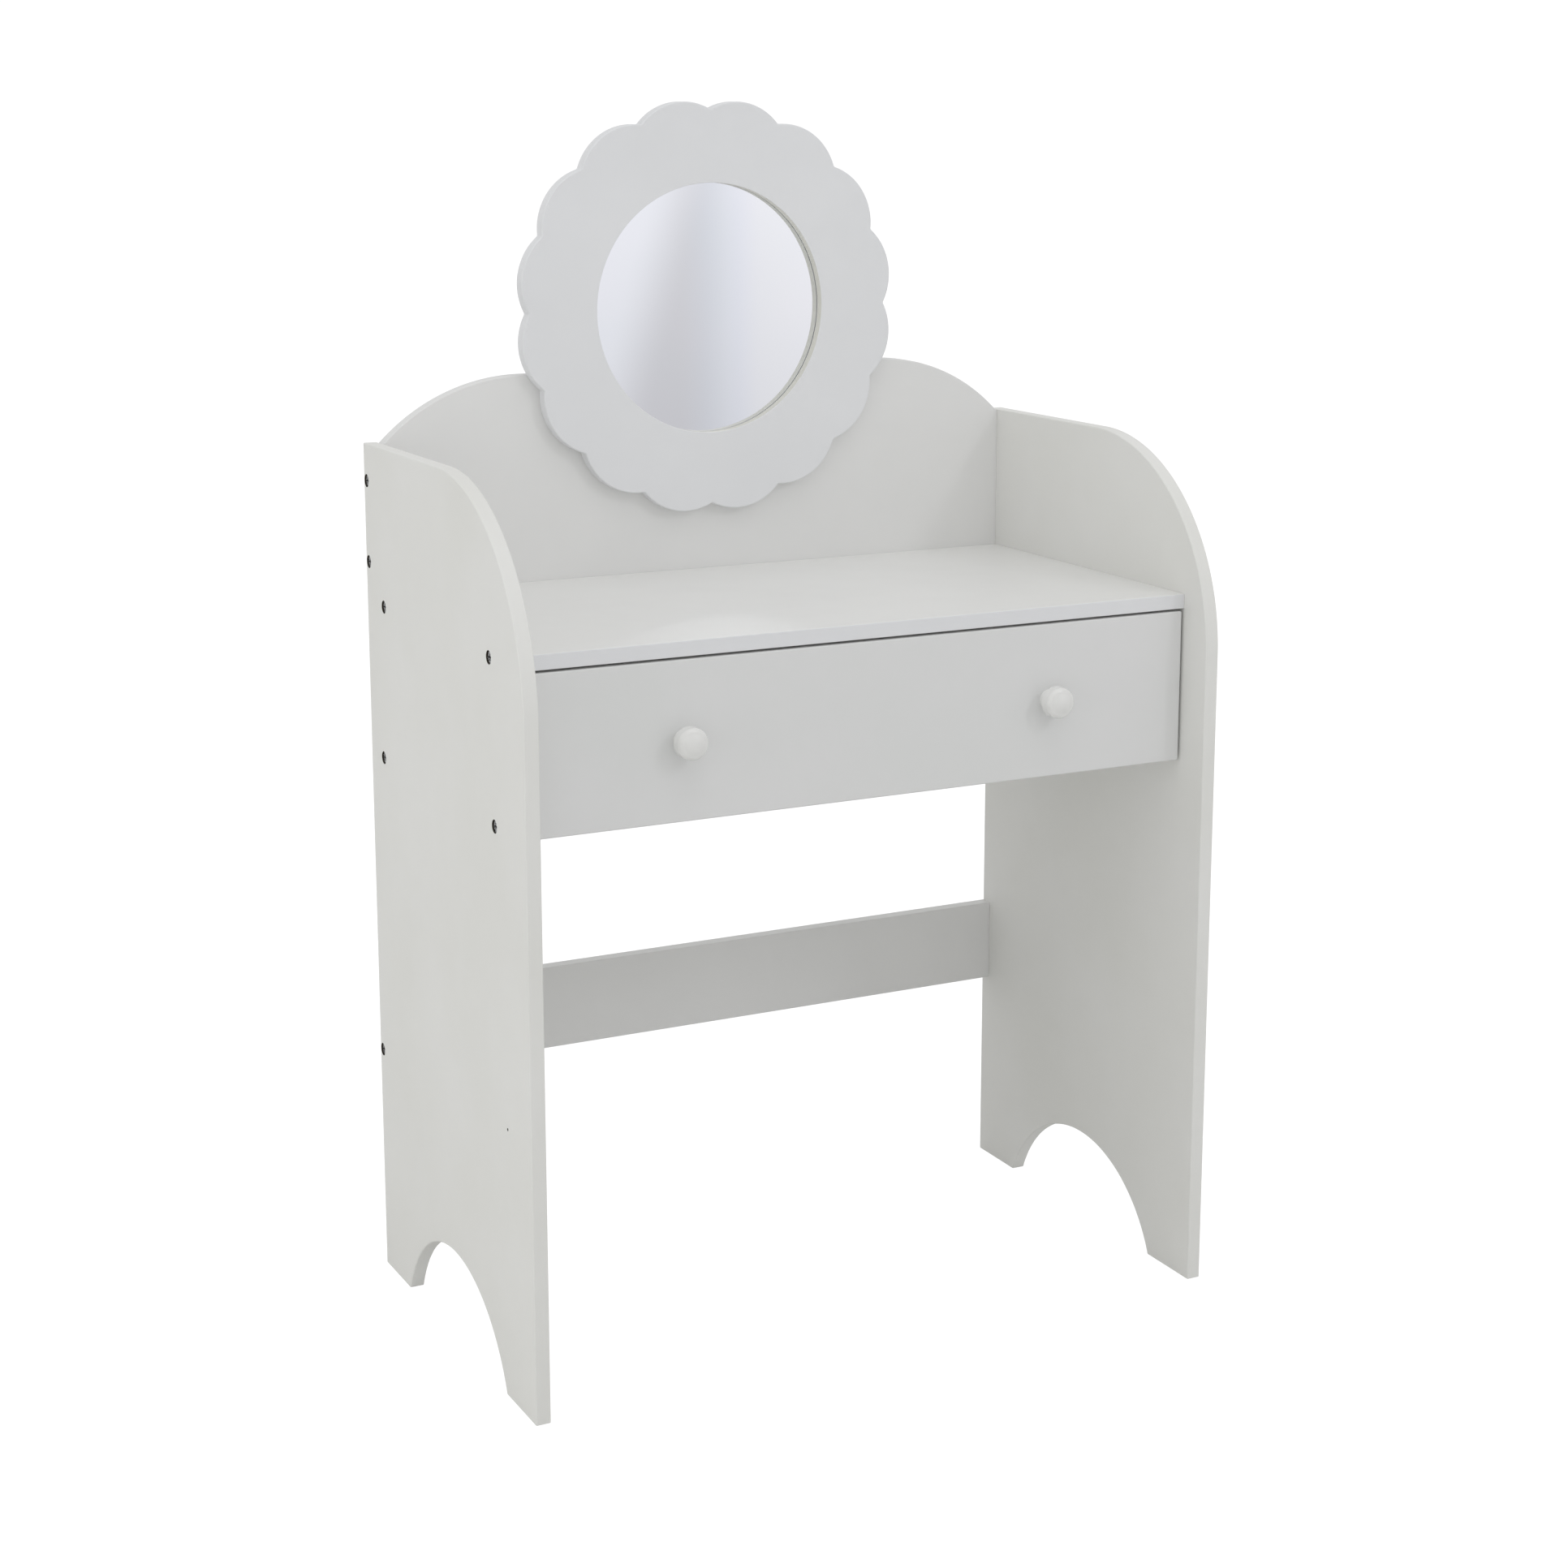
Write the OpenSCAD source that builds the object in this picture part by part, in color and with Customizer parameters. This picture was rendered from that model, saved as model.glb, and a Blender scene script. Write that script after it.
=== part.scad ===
// Children's vanity table with a scalloped round mirror and one drawer.
// Flat-pack construction: painted 12 mm MDF boards between two side panels, held by screws and dowels.
// Millimetres, +Z up, the front faces -Y. The origin is on the floor under the middle of the footprint.

/* [Overall] */
// Width over the two side panels
table_w = 600; // [520:5:700]
// Depth of the side panels, front to back
table_d = 340; // [320:5:400]
// Thickness of every painted board
board_t = 12; // [11:1:15]

/* [Side panels] */
// Height of the side panels
side_h = 702; // [690:1:740]
// Radius of the round front-top corner
corner_r = 168; // [120:1:180]
// Length of each foot along the floor
foot_len = 60; // [45:1:75]
// Height of the arch between the two feet
arch_h = 74; // [50:1:90]

/* [Worktop and stretcher] */
// Height of the worktop's surface
worktop_z = 580; // [560:1:600]
// How far the worktop and the drawer front stand back from the panels' front edges
front_setback = 32; // [25:1:45]
// Height of the stretcher's lower edge
stretcher_z = 172; // [120:1:250]
// Height of the stretcher board itself
stretcher_h = 72; // [50:1:100]

/* [Back board] */
// Height of the back board's flat top
back_top_z = 752; // [740:1:760]
// Radius of the back board's two round shoulders
shoulder_r = 170; // [165:1:185]
// Distance of each shoulder's centre from the middle
shoulder_x = 166; // [150:1:170]

/* [Mirror] */
// Height of the mirror's centre
mirror_z = 801.5; // [790:0.5:820]
// Number of lobes round the frame
lobe_count = 16; // [12:1:20]
// Radius of one lobe
lobe_r = 50; // [45:1:55]
// Radius of the circle that the lobes' centres lie on
lobe_ring_r = 122.5; // [118:0.5:126]
// Radius of the opening that shows the glass
opening_r = 104; // [90:1:108]
// Width of the rear rebate that holds the glass
rebate_w = 8; // [5:1:9]
// Thickness of the glass, and of its backing sheet
glass_t = 2; // [2:0.5:3]

/* [Drawer] */
// Height of the drawer front
drawer_front_h = 124; // [110:1:126]
// Gap round the drawer front
drawer_gap = 2; // [1:0.5:3]
// Height of the drawer box's sides
box_h = 96; // [70:1:100]
// Depth of the drawer box behind its front
box_d = 270; // [230:1:275]
// Gap between the box and each side panel
box_gap = 4; // [3:0.5:8]
// Running gap under the drawer box
run_gap = 0.5; // [0.3:0.1:1]
// Thickness of the drawer's bottom sheet
sheet_t = 3; // [2.5:0.5:4]

/* [Knobs] */
// Distance of each knob from the middle
knob_x = 160; // [100:5:200]
// Height of the knobs
knob_z = 505; // [480:1:530]
// Diameter of a knob's head
knob_d = 25; // [22:1:30]
// How far a knob stands out from the drawer front
knob_h = 22; // [20:1:25]

/* [Fasteners] */
// Length of the screws through the side panels
screw_len = 40; // [35:1:50]
// Diameter of their shanks
screw_d = 5; // [4:0.5:5]
// Diameter of their heads
screw_head_d = 10; // [9:0.5:11]
// How deep their heads sit below the panel's face
screw_recess = 1.2; // [0.5:0.1:2]
// Diameter of the dowels
dowel_d = 6; // [5:1:6]
// Length of the dowels
dowel_len = 28; // [24:1:30]

/* [Hidden] */
$fn = 96;
eps = 1;            // how far a cutting shape runs past a face
slack = 0.05;       // clearance all round a screw or a dowel in its hole

white = "#d8d8d5";
steel = "#b9bbbd";
beech = "#d9b98c";
hardboard = "#8a6a4a";

half_w = table_w / 2;
half_d = table_d / 2;
inner_x = half_w - board_t;             // inner face of the right side panel
face_y = front_setback - half_d;        // front face of the worktop and of the drawer front
front_back_y = face_y + board_t;        // back face of the drawer front
back_face_y = half_d - board_t;         // front face of the back board
back_mid_y = half_d - board_t / 2;      // middle of the back board and of the stretcher
worktop_under_z = worktop_z - board_t;
drawer_front_top_z = worktop_under_z - drawer_gap;
bay_bottom_z = drawer_front_top_z - drawer_front_h;     // lower face of the bottom panel
bay_floor_z = bay_bottom_z + board_t;                   // face that the drawer slides on
stretcher_mid_z = stretcher_z + stretcher_h / 2;

// places of the side screws and of the dowels, as [y, z]
back_screws = [[back_mid_y, worktop_z + 92], [back_mid_y, worktop_z + 26]];
top_screws = [[face_y + 35, worktop_z - board_t / 2], [back_face_y - 28, worktop_z - board_t / 2]];
bottom_screws = [[front_back_y + 18, bay_floor_z - board_t / 2],
    [back_face_y - 18, bay_floor_z - board_t / 2]];
stretcher_screws = [[back_mid_y, stretcher_mid_z - 16]];
back_dowels = [[back_mid_y, bay_floor_z + 46]];
top_dowels = [[(face_y + back_face_y) / 2, worktop_z - board_t / 2]];
bottom_dowels = [[(front_back_y + back_face_y) / 2, bay_floor_z - board_t / 2]];
stretcher_dowels = [[back_mid_y, stretcher_mid_z + 16]];
all_screws = concat(back_screws, top_screws, bottom_screws, stretcher_screws);
all_dowels = concat(back_dowels, top_dowels, bottom_dowels, stretcher_dowels);
dowel_in_panel = 7;                     // length of a dowel inside the side panel

// mirror, and the screws that hold its frame on the back board
frame_front_y = back_face_y - board_t;
lip_t = board_t - 2 * glass_t;          // depth of the opening in front of the glass
rebate_r = opening_r + rebate_w;
glass_r = rebate_r - 0.3;
frame_screw_r = 142;                    // the screws' distance from the mirror's centre
frame_screw_angles = [-152, -118, -62, -28];
small_screw_d = 4;
small_head_d = 7.5;
frame_screw_len = 20;

// drawer box
box_outer_x = inner_x - box_gap;
box_inner_x = box_outer_x - board_t;
box_bottom_z = bay_floor_z + run_gap;
box_back_y = front_back_y + box_d;
groove_depth = 5;
groove_h = sheet_t + 0.2;
groove_z = box_bottom_z + 6;
sheet_inset = groove_depth - 0.5;       // how far the sheet reaches into each groove
back_screw_len = 35;
cam_d = 12;
cam_h = 9.5;
cam_set = 24;                           // the cam's distance from the end of the box side
cam_z = box_bottom_z + box_h / 2;
bolt_d = 5;
bolt_in_front = 9;                      // how far a cam bolt is screwed into the drawer front
box_dowel_len = 25;
box_dowel_in_front = 8;
box_dowel_dz = 28;                      // distance of the box dowels above and below the cam
box_end_x = box_outer_x - board_t / 2;  // middle of a box side's thickness

// knob and its screw
knob_stem_r = 8;
knob_screw_d = 4;
knob_screw_in_knob = 10;
knob_head_t = 2.6;

// ---- shared shapes ----

// An outline in the XZ plane, made a board whose rear face is at y.
module upright_board(y, thickness) {
    translate([0, y, 0]) rotate([90, 0, 0]) linear_extrude(thickness) children();
}

// A box given by its low and high corners.
module block(low, high) {
    translate(low) cube(high - low);
}

// A countersunk cross-head screw. The head's face is at the origin and the screw runs along +Z.
module cross_screw(length, shank_d, head_d) {
    rim = 0.5;
    cone = (head_d - shank_d) / 2;
    tip = shank_d;
    slot = [head_d * 0.55, head_d * 0.12, 1.6];
    difference() {
        union() {
            cylinder(d = head_d, h = rim);
            translate([0, 0, rim]) cylinder(d1 = head_d, d2 = shank_d, h = cone);
            translate([0, 0, rim + cone]) cylinder(d = shank_d, h = length - rim - cone - tip);
            translate([0, 0, length - tip]) cylinder(d1 = shank_d, d2 = 1, h = tip);
        }
        for (turn = [0, 90]) {
            rotate(turn) translate([-slot[0] / 2, -slot[1] / 2, -eps]) cube([slot[0], slot[1], slot[2] + eps]);
        }
    }
}

// The hole that such a screw sits in, with its head set below the face by recess.
module screw_hole(length, shank_d, head_d, recess) {
    bore_d = head_d + 0.5;
    cone = (bore_d - shank_d) / 2;
    translate([0, 0, -eps]) cylinder(d = bore_d, h = eps + recess + 0.5);
    translate([0, 0, recess + 0.5]) cylinder(d1 = bore_d, d2 = shank_d + 2 * slack, h = cone);
    translate([0, 0, recess]) cylinder(d = shank_d + 2 * slack, h = length + 1);
}

// Children on the outer face of one side panel, turned to run inwards, at each [y, z].
module on_outer_face(points, side) {
    for (p = points) {
        translate([side * half_w, p[0], p[1]]) rotate([0, -90 * side, 0]) children();
    }
}

// Every hole that a set of screws and dowels needs at both ends of a board.
module end_holes(screws, dowels) {
    for (side = [-1, 1]) {
        on_outer_face(screws, side) screw_hole(screw_len, screw_d, screw_head_d, screw_recess);
        on_outer_face(dowels, side) dowel_hole();
    }
}

module dowel_hole() {
    translate([0, 0, board_t - dowel_in_panel - 1]) cylinder(d = dowel_d + 2 * slack, h = dowel_len + 2);
}

// ---- carcass ----

module side_outline() {
    arch_half = half_d - foot_len;
    arch_r = (pow(arch_half, 2) + pow(arch_h, 2)) / (2 * arch_h);
    difference() {
        union() {
            translate([-half_d, 0]) square([table_d, side_h - corner_r]);
            translate([corner_r - half_d, 0]) square([table_d - corner_r, side_h]);
            translate([corner_r - half_d, side_h - corner_r]) circle(r = corner_r, $fn = 180);
        }
        translate([0, arch_h - arch_r]) circle(r = arch_r, $fn = 180);
    }
}

module side_panel(side) {
    inner_edge = side < 0 ? -half_w : inner_x;
    difference() {
        translate([inner_edge, 0, 0]) rotate([90, 0, 90]) linear_extrude(board_t) side_outline();
        end_holes(all_screws, all_dowels);
    }
}

module left_side_panel() {
    color(white) side_panel(-1);
}

module right_side_panel() {
    color(white) side_panel(1);
}

module back_outline() {
    arc_z = back_top_z - shoulder_r;
    intersection() {
        translate([-inner_x, bay_bottom_z]) square([2 * inner_x, back_top_z]);
        union() {
            translate([-inner_x, bay_bottom_z]) square([2 * inner_x, arc_z - bay_bottom_z]);
            translate([-shoulder_x, bay_bottom_z]) square([2 * shoulder_x, back_top_z - bay_bottom_z]);
            for (side = [-1, 1]) {
                translate([side * shoulder_x, arc_z]) circle(r = shoulder_r, $fn = 180);
            }
        }
    }
}

module back_board() {
    color(white) difference() {
        upright_board(half_d, board_t) back_outline();
        end_holes(back_screws, back_dowels);
        frame_screw_places() screw_hole(frame_screw_len, small_screw_d, small_head_d, 0);
    }
}

module table_top() {
    color(white) difference() {
        block([-inner_x, face_y, worktop_under_z], [inner_x, back_face_y, worktop_z]);
        end_holes(top_screws, top_dowels);
    }
}

module bottom_panel() {
    color(white) difference() {
        block([-inner_x, front_back_y, bay_bottom_z], [inner_x, back_face_y, bay_floor_z]);
        end_holes(bottom_screws, bottom_dowels);
    }
}

module stretcher_rail() {
    color(white) difference() {
        block([-inner_x, back_face_y, stretcher_z], [inner_x, half_d, stretcher_z + stretcher_h]);
        end_holes(stretcher_screws, stretcher_dowels);
    }
}

module side_screws(side) {
    color(steel) on_outer_face(all_screws, side) {
        translate([0, 0, screw_recess]) cross_screw(screw_len, screw_d, screw_head_d);
    }
}

module side_dowels(side) {
    color(beech) on_outer_face(all_dowels, side) {
        translate([0, 0, board_t - dowel_in_panel]) cylinder(d = dowel_d, h = dowel_len);
    }
}

module side_screws_left() {
    side_screws(-1);
}

module side_screws_right() {
    side_screws(1);
}

module dowels_left() {
    side_dowels(-1);
}

module dowels_right() {
    side_dowels(1);
}

// ---- mirror ----

// Overlapping circles make the lobes, with a notch at the top between two of them.
module lobed_outline() {
    step = 360 / lobe_count;
    circle(r = lobe_ring_r);
    for (i = [0 : lobe_count - 1]) {
        rotate((i + 0.5) * step) translate([lobe_ring_r, 0]) circle(r = lobe_r);
    }
}

// Children on the back board's rear face, turned to run forwards into the frame.
module frame_screw_places() {
    for (a = frame_screw_angles) {
        translate([frame_screw_r * cos(a), half_d, mirror_z + frame_screw_r * sin(a)]) rotate([90, 0, 0]) children();
    }
}

module mirror_frame() {
    color(white) difference() {
        upright_board(back_face_y, board_t) translate([0, mirror_z]) lobed_outline();
        upright_board(back_face_y + eps, board_t + 2 * eps) translate([0, mirror_z]) circle(r = opening_r);
        upright_board(back_face_y + eps, 2 * glass_t + eps) translate([0, mirror_z]) circle(r = rebate_r);
        frame_screw_places() screw_hole(frame_screw_len, small_screw_d, small_head_d, 0);
    }
}

module mirror_glass() {
    color("#cfd6e4") upright_board(back_face_y - glass_t, glass_t) translate([0, mirror_z]) circle(r = glass_r);
}

module mirror_backing() {
    color(hardboard) upright_board(back_face_y, glass_t) translate([0, mirror_z]) circle(r = glass_r);
}

module mirror_screws() {
    color(steel) frame_screw_places() cross_screw(frame_screw_len, small_screw_d, small_head_d);
}

// ---- drawer ----

// Children at the two ends where a box side meets the drawer front, running back along +Y.
module box_corners(z) {
    for (side = [-1, 1]) {
        translate([side * box_end_x, front_back_y, z]) rotate([-90, 0, 0]) children();
    }
}

module cam_bolt_holes() {
    box_corners(cam_z) {
        translate([0, 0, -bolt_in_front]) cylinder(d = bolt_d + 2 * slack, h = bolt_in_front + cam_set);
    }
}

module box_dowel_holes() {
    for (dz = [-box_dowel_dz, box_dowel_dz]) {
        box_corners(cam_z + dz) {
            translate([0, 0, -box_dowel_in_front - 1]) cylinder(d = dowel_d + 2 * slack, h = box_dowel_len + 2);
        }
    }
}

// Children at each cam lock, running out from the box side's inner face.
module cam_places() {
    for (side = [-1, 1]) {
        translate([side * box_inner_x, front_back_y + cam_set, cam_z]) rotate([0, 90 * side, 0]) children();
    }
}

// Children on the outer faces of the box sides, turned inwards, at the screws that hold the box's back.
module back_screw_places() {
    for (side = [-1, 1], dz = [24, 80]) {
        translate([side * box_outer_x, box_back_y - board_t / 2, box_bottom_z + dz])
            rotate([0, -90 * side, 0]) children();
    }
}

module sheet_groove() {
    block([-box_inner_x - groove_depth, front_back_y - groove_depth, groove_z],
        [box_inner_x + groove_depth, box_back_y + eps, groove_z + groove_h]);
}

module knob_places() {
    for (side = [-1, 1]) {
        translate([side * knob_x, 0, knob_z]) rotate([90, 0, 0]) children();
    }
}

module drawer_front() {
    edge_x = inner_x - drawer_gap;
    color(white) difference() {
        block([-edge_x, face_y, bay_bottom_z], [edge_x, front_back_y, drawer_front_top_z]);
        sheet_groove();
        cam_bolt_holes();
        box_dowel_holes();
        translate([0, front_back_y + eps, 0]) knob_places() cylinder(d = knob_screw_d + 0.5, h = board_t + 2 * eps);
    }
}

module drawer_side(side) {
    low_x = side < 0 ? -box_outer_x : box_inner_x;
    color(white) difference() {
        block([low_x, front_back_y, box_bottom_z], [low_x + board_t, box_back_y, box_bottom_z + box_h]);
        sheet_groove();
        cam_bolt_holes();
        box_dowel_holes();
        cam_places() translate([0, 0, -eps]) cylinder(d = cam_d + 2 * slack, h = cam_h + eps);
        back_screw_places() screw_hole(back_screw_len, small_screw_d, small_head_d, 0);
    }
}

module drawer_side_left() {
    drawer_side(-1);
}

module drawer_side_right() {
    drawer_side(1);
}

module drawer_back() {
    color(white) difference() {
        block([-box_inner_x, box_back_y - board_t, groove_z + groove_h],
            [box_inner_x, box_back_y, box_bottom_z + box_h]);
        back_screw_places() screw_hole(back_screw_len, small_screw_d, small_head_d, 0);
    }
}

module drawer_bottom() {
    color(white) block([-box_inner_x - sheet_inset, front_back_y - sheet_inset, groove_z],
        [box_inner_x + sheet_inset, box_back_y, groove_z + sheet_t]);
}

// Profile of a knob as [radius, height]: a stem, a shallow neck, then a thick head with a domed face.
module knob_profile() {
    head_r = knob_d / 2;
    neck_h = 5;
    head_low = 9;
    dome_low = knob_h - 6;
    dome = [for (a = [0 : 10 : 90]) [(head_r - 4) + 4 * cos(a), dome_low + 4 * sin(a)]];
    crown = [for (k = [0.8, 0.6, 0.4, 0.2, 0]) [(head_r - 4) * k, dome_low + 4 + 2 * (1 - k * k)]];
    polygon(concat([[0, 0], [knob_stem_r, 0], [knob_stem_r - 0.8, neck_h], [head_r - 1, head_low - 1],
        [head_r, head_low + 1]], dome, crown));
}

module knob() {
    difference() {
        rotate_extrude() knob_profile();
        translate([0, 0, -eps]) cylinder(d = knob_screw_d + 2 * slack, h = knob_screw_in_knob + 1 + eps);
    }
}

module knob_left() {
    color("white") translate([-knob_x, face_y, knob_z]) rotate([90, 0, 0]) knob();
}

module knob_right() {
    color("white") translate([knob_x, face_y, knob_z]) rotate([90, 0, 0]) knob();
}

module knob_screws() {
    head_d = 2 * knob_screw_d;
    color(steel) translate([0, front_back_y, 0]) knob_places() {
        translate([0, 0, -knob_head_t]) cylinder(d = head_d, h = knob_head_t);
        cylinder(d = knob_screw_d, h = board_t + knob_screw_in_knob);
    }
}

module drawer_cam_locks() {
    slot = [cam_d * 0.7, 1.6, 1.2];
    color(steel) difference() {
        cam_places() difference() {
            cylinder(d = cam_d, h = cam_h);
            for (turn = [45, 135]) {
                rotate(turn) translate([-slot[0] / 2, -slot[1] / 2, -eps]) cube([slot[0], slot[1], slot[2] + eps]);
            }
        }
        box_corners(cam_z) cylinder(d = bolt_d + 0.5, h = cam_set + 2);
    }
}

module drawer_cam_bolts() {
    color(steel) box_corners(cam_z) {
        translate([0, 0, -bolt_in_front]) cylinder(d = bolt_d, h = bolt_in_front + cam_set + 1);
    }
}

module drawer_dowels() {
    color(beech) for (dz = [-box_dowel_dz, box_dowel_dz]) {
        box_corners(cam_z + dz) translate([0, 0, -box_dowel_in_front]) cylinder(d = dowel_d, h = box_dowel_len);
    }
}

module drawer_back_screws() {
    color(steel) back_screw_places() cross_screw(back_screw_len, small_screw_d, small_head_d);
}

left_side_panel();
right_side_panel();
back_board();
table_top();
bottom_panel();
stretcher_rail();
mirror_frame();
mirror_glass();
mirror_backing();
mirror_screws();
side_screws_left();
side_screws_right();
dowels_left();
dowels_right();
drawer_front();
drawer_side_left();
drawer_side_right();
drawer_back();
drawer_bottom();
knob_left();
knob_right();
knob_screws();
drawer_cam_locks();
drawer_cam_bolts();
drawer_dowels();
drawer_back_screws();
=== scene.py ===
# %% [markdown]
# # A child's dressing table with a scalloped mirror
#
# The real table is a flat-pack. Painted 12 mm fibreboard is cut, its edges are rounded with a router, and
# everything is held between two side panels by screws and wooden dowels. The CAD model gives every size, so
# this lesson starts by loading it and never moves it. Blender's work is what CAD leaves out: the softened
# edges, the recessed screws, the paint, the mirror, and the light.

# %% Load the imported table
import math

import bmesh
import bpy
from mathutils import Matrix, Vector


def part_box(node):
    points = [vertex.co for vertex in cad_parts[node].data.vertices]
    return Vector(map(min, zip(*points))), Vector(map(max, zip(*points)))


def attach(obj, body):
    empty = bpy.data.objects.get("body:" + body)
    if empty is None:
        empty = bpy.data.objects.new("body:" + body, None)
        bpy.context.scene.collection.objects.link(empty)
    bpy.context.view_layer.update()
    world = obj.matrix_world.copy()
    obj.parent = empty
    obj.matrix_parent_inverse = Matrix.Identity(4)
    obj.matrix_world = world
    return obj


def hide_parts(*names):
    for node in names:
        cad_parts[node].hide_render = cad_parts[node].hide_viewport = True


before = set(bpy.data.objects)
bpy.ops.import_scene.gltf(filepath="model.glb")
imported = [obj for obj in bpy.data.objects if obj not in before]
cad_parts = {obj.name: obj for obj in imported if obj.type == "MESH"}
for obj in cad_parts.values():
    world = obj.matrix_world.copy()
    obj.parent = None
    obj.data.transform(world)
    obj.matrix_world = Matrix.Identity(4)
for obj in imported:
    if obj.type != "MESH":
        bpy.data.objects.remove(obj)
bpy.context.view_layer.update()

MM = 0.001

# %% [markdown]
# ## Three habits that keep a scripted model tidy
#
# An operator works on everything that is selected, and the loaded CAD parts start out selected. So the
# selection is always set first. A board starts as a cube primitive at its real size and place. Applying its
# transforms puts that place into the mesh, and the object itself stays at the origin.

# %% Selecting, and adding a board
TINY = 0.01 * MM         # places closer together than this count as the same


def select_only(*objects):
    """Deselects everything, then selects these objects and makes the first one active."""
    if bpy.context.object and bpy.context.object.mode != "OBJECT":
        bpy.ops.object.mode_set(mode="OBJECT")
    bpy.ops.object.select_all(action="DESELECT")
    for thing in objects:
        thing.select_set(True)
    bpy.context.view_layer.objects.active = objects[0] if objects else None


def settle(name):
    """Names the newest object and moves its place, turn and scale into its mesh."""
    piece = bpy.context.active_object
    piece.name = name
    piece.data.name = name
    bpy.ops.object.transform_apply(location=True, rotation=True, scale=True)
    return piece


def add_board(name, low, high):
    """A cube primitive stretched between two corners."""
    low, high = Vector(low), Vector(high)
    select_only()
    bpy.ops.mesh.primitive_cube_add(size=1, location=(low + high) / 2, scale=high - low)
    return settle(name)


def level(value, *coordinates):
    """True where every coordinate is at this value."""
    return all(abs(c - value) < TINY for c in coordinates)


# %% [markdown]
# ## Rounding edges
#
# A router takes the sharp edge off a board before it is painted, and the paint softens it further. A
# perfectly sharp edge catches no light, so this small rounding does more for realism than any other step.
# The bevel operator rounds the selected edges, which are picked in code by where their two ends are.

# %% Picking and rounding edges
ROUTED = 1.2 * MM        # the router's rounding on the edges that a hand can reach
EASED = 0.4 * MM         # the slight rounding that paint leaves on a sawn edge
print("routed and eased edges in mm:", ROUTED / MM, EASED / MM)


def pick_edges(piece, belongs):
    """Enters edit mode and selects the edges whose two ends pass the test together."""
    select_only(piece)
    bpy.ops.object.mode_set(mode="EDIT")
    bpy.ops.mesh.select_mode(type="EDGE")
    bpy.ops.mesh.select_all(action="DESELECT")
    cage = bmesh.from_edit_mesh(piece.data)
    picked = [e for e in cage.edges if belongs(e.verts[0].co, e.verts[1].co)]
    for edge in picked:
        edge.select_set(True)
    cage.select_flush_mode()
    bmesh.update_edit_mesh(piece.data)
    return len(picked)


def round_edges(piece, belongs, radius, steps=5):
    """Bevels the picked edges to a round of this radius."""
    count = pick_edges(piece, belongs)
    bpy.ops.mesh.bevel(offset=radius, segments=steps, affect="EDGES")
    bpy.ops.object.mode_set(mode="OBJECT")
    return count


# %% [markdown]
# ## Cutting with another solid
#
# Arches, screw holes and grooves are cut with a Boolean modifier, as a saw or a drill would. The modifier
# is applied at once, so the finished piece is plain mesh. A cutter is thrown away after its cut, except a
# drilling jig, which serves several boards.

# %% Cutting one solid out of another
def carve(piece, cutter, keep=False):
    """Takes the cutter's shape out of the piece."""
    select_only(piece)
    cut = piece.modifiers.new("cut", "BOOLEAN")
    cut.operation = "DIFFERENCE"
    cut.solver = "EXACT"
    cut.object = cutter
    bpy.ops.object.modifier_apply(modifier=cut.name)
    bpy.ops.object.mode_set(mode="EDIT")
    bpy.ops.mesh.select_all(action="SELECT")
    bpy.ops.mesh.remove_doubles(threshold=TINY / 10)
    bpy.ops.mesh.dissolve_degenerate(threshold=TINY / 10)
    bpy.ops.object.mode_set(mode="OBJECT")
    if not keep:
        bpy.data.objects.remove(cutter)


def drill(piece, *jigs):
    """Cuts a piece with jigs, which are kept for the next piece."""
    for jig in jigs:
        carve(piece, jig, keep=True)


def add_cylinder(name, centre, radius, depth, turned, sides=192):
    """A cylinder primitive that serves as a cutter."""
    select_only()
    bpy.ops.mesh.primitive_cylinder_add(
        vertices=sides, radius=radius, depth=depth, location=centre, rotation=turned
    )
    return settle(name)


ALONG_X = (0, math.radians(90), 0)
ALONG_Y = (math.radians(90), 0, 0)
OVERSHOOT = 1 * MM       # how far a cutter reaches past a face, so that the cut comes out clean

# %% [markdown]
# ## A lathe
#
# Knobs, screws and drilled holes are all round. One way to make them is to spin a profile, which leaves a
# seam of doubled points to merge. Here a filled circle is extruded ring by ring and resized after each step,
# which gives a closed solid with no seam. Its faces are then turned outwards.

# %% Turning a round solid
def face_outwards():
    """Turns every face of the mesh in edit mode outwards, and leaves edit mode."""
    bpy.ops.mesh.select_all(action="SELECT")
    bpy.ops.mesh.normals_make_consistent(inside=False)
    bpy.ops.object.mode_set(mode="OBJECT")


def turn(name, rings, start, along, sides=48):
    """Extrudes a circle through rings of (radius, distance along the axis)."""
    start, along = Vector(start), Vector(along)
    radius, distance = rings[0]
    select_only()
    bpy.ops.mesh.primitive_circle_add(
        vertices=sides,
        radius=radius,
        fill_type="NGON",
        location=start + along * distance,
        rotation=along.to_track_quat("Z", "Y").to_euler(),
    )
    piece = settle(name)
    bpy.ops.object.mode_set(mode="EDIT")
    bpy.ops.mesh.select_all(action="SELECT")
    for next_radius, next_distance in rings[1:]:
        step = along * (next_distance - distance)
        bpy.ops.mesh.extrude_region_move(TRANSFORM_OT_translate={"value": step})
        if next_radius > 0:
            grow = next_radius / radius
            middle = start + along * next_distance
            bpy.ops.transform.resize(value=(grow, grow, grow), center_override=middle)
        else:
            bpy.ops.mesh.merge(type="CENTER")
        radius, distance = next_radius, next_distance
    face_outwards()
    return piece


# %% [markdown]
# ## Copies
#
# A screw is modelled once. Every copy gets its own mesh, and a whole set is joined into one piece. The
# table's right side is its left side mirrored, and a mirrored mesh is inside out until its faces are turned.

# %% Repeating and mirroring
def repeat_at(first, moves):
    """Copies a shape by each move and joins all of them into one piece."""
    made = [first]
    for move in moves:
        select_only(first)
        bpy.ops.object.duplicate_move(
            OBJECT_OT_duplicate={"linked": False}, TRANSFORM_OT_translate={"value": move}
        )
        made.append(settle(first.name + "_copy"))
    select_only(*made)
    bpy.ops.object.join()
    return first


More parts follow.
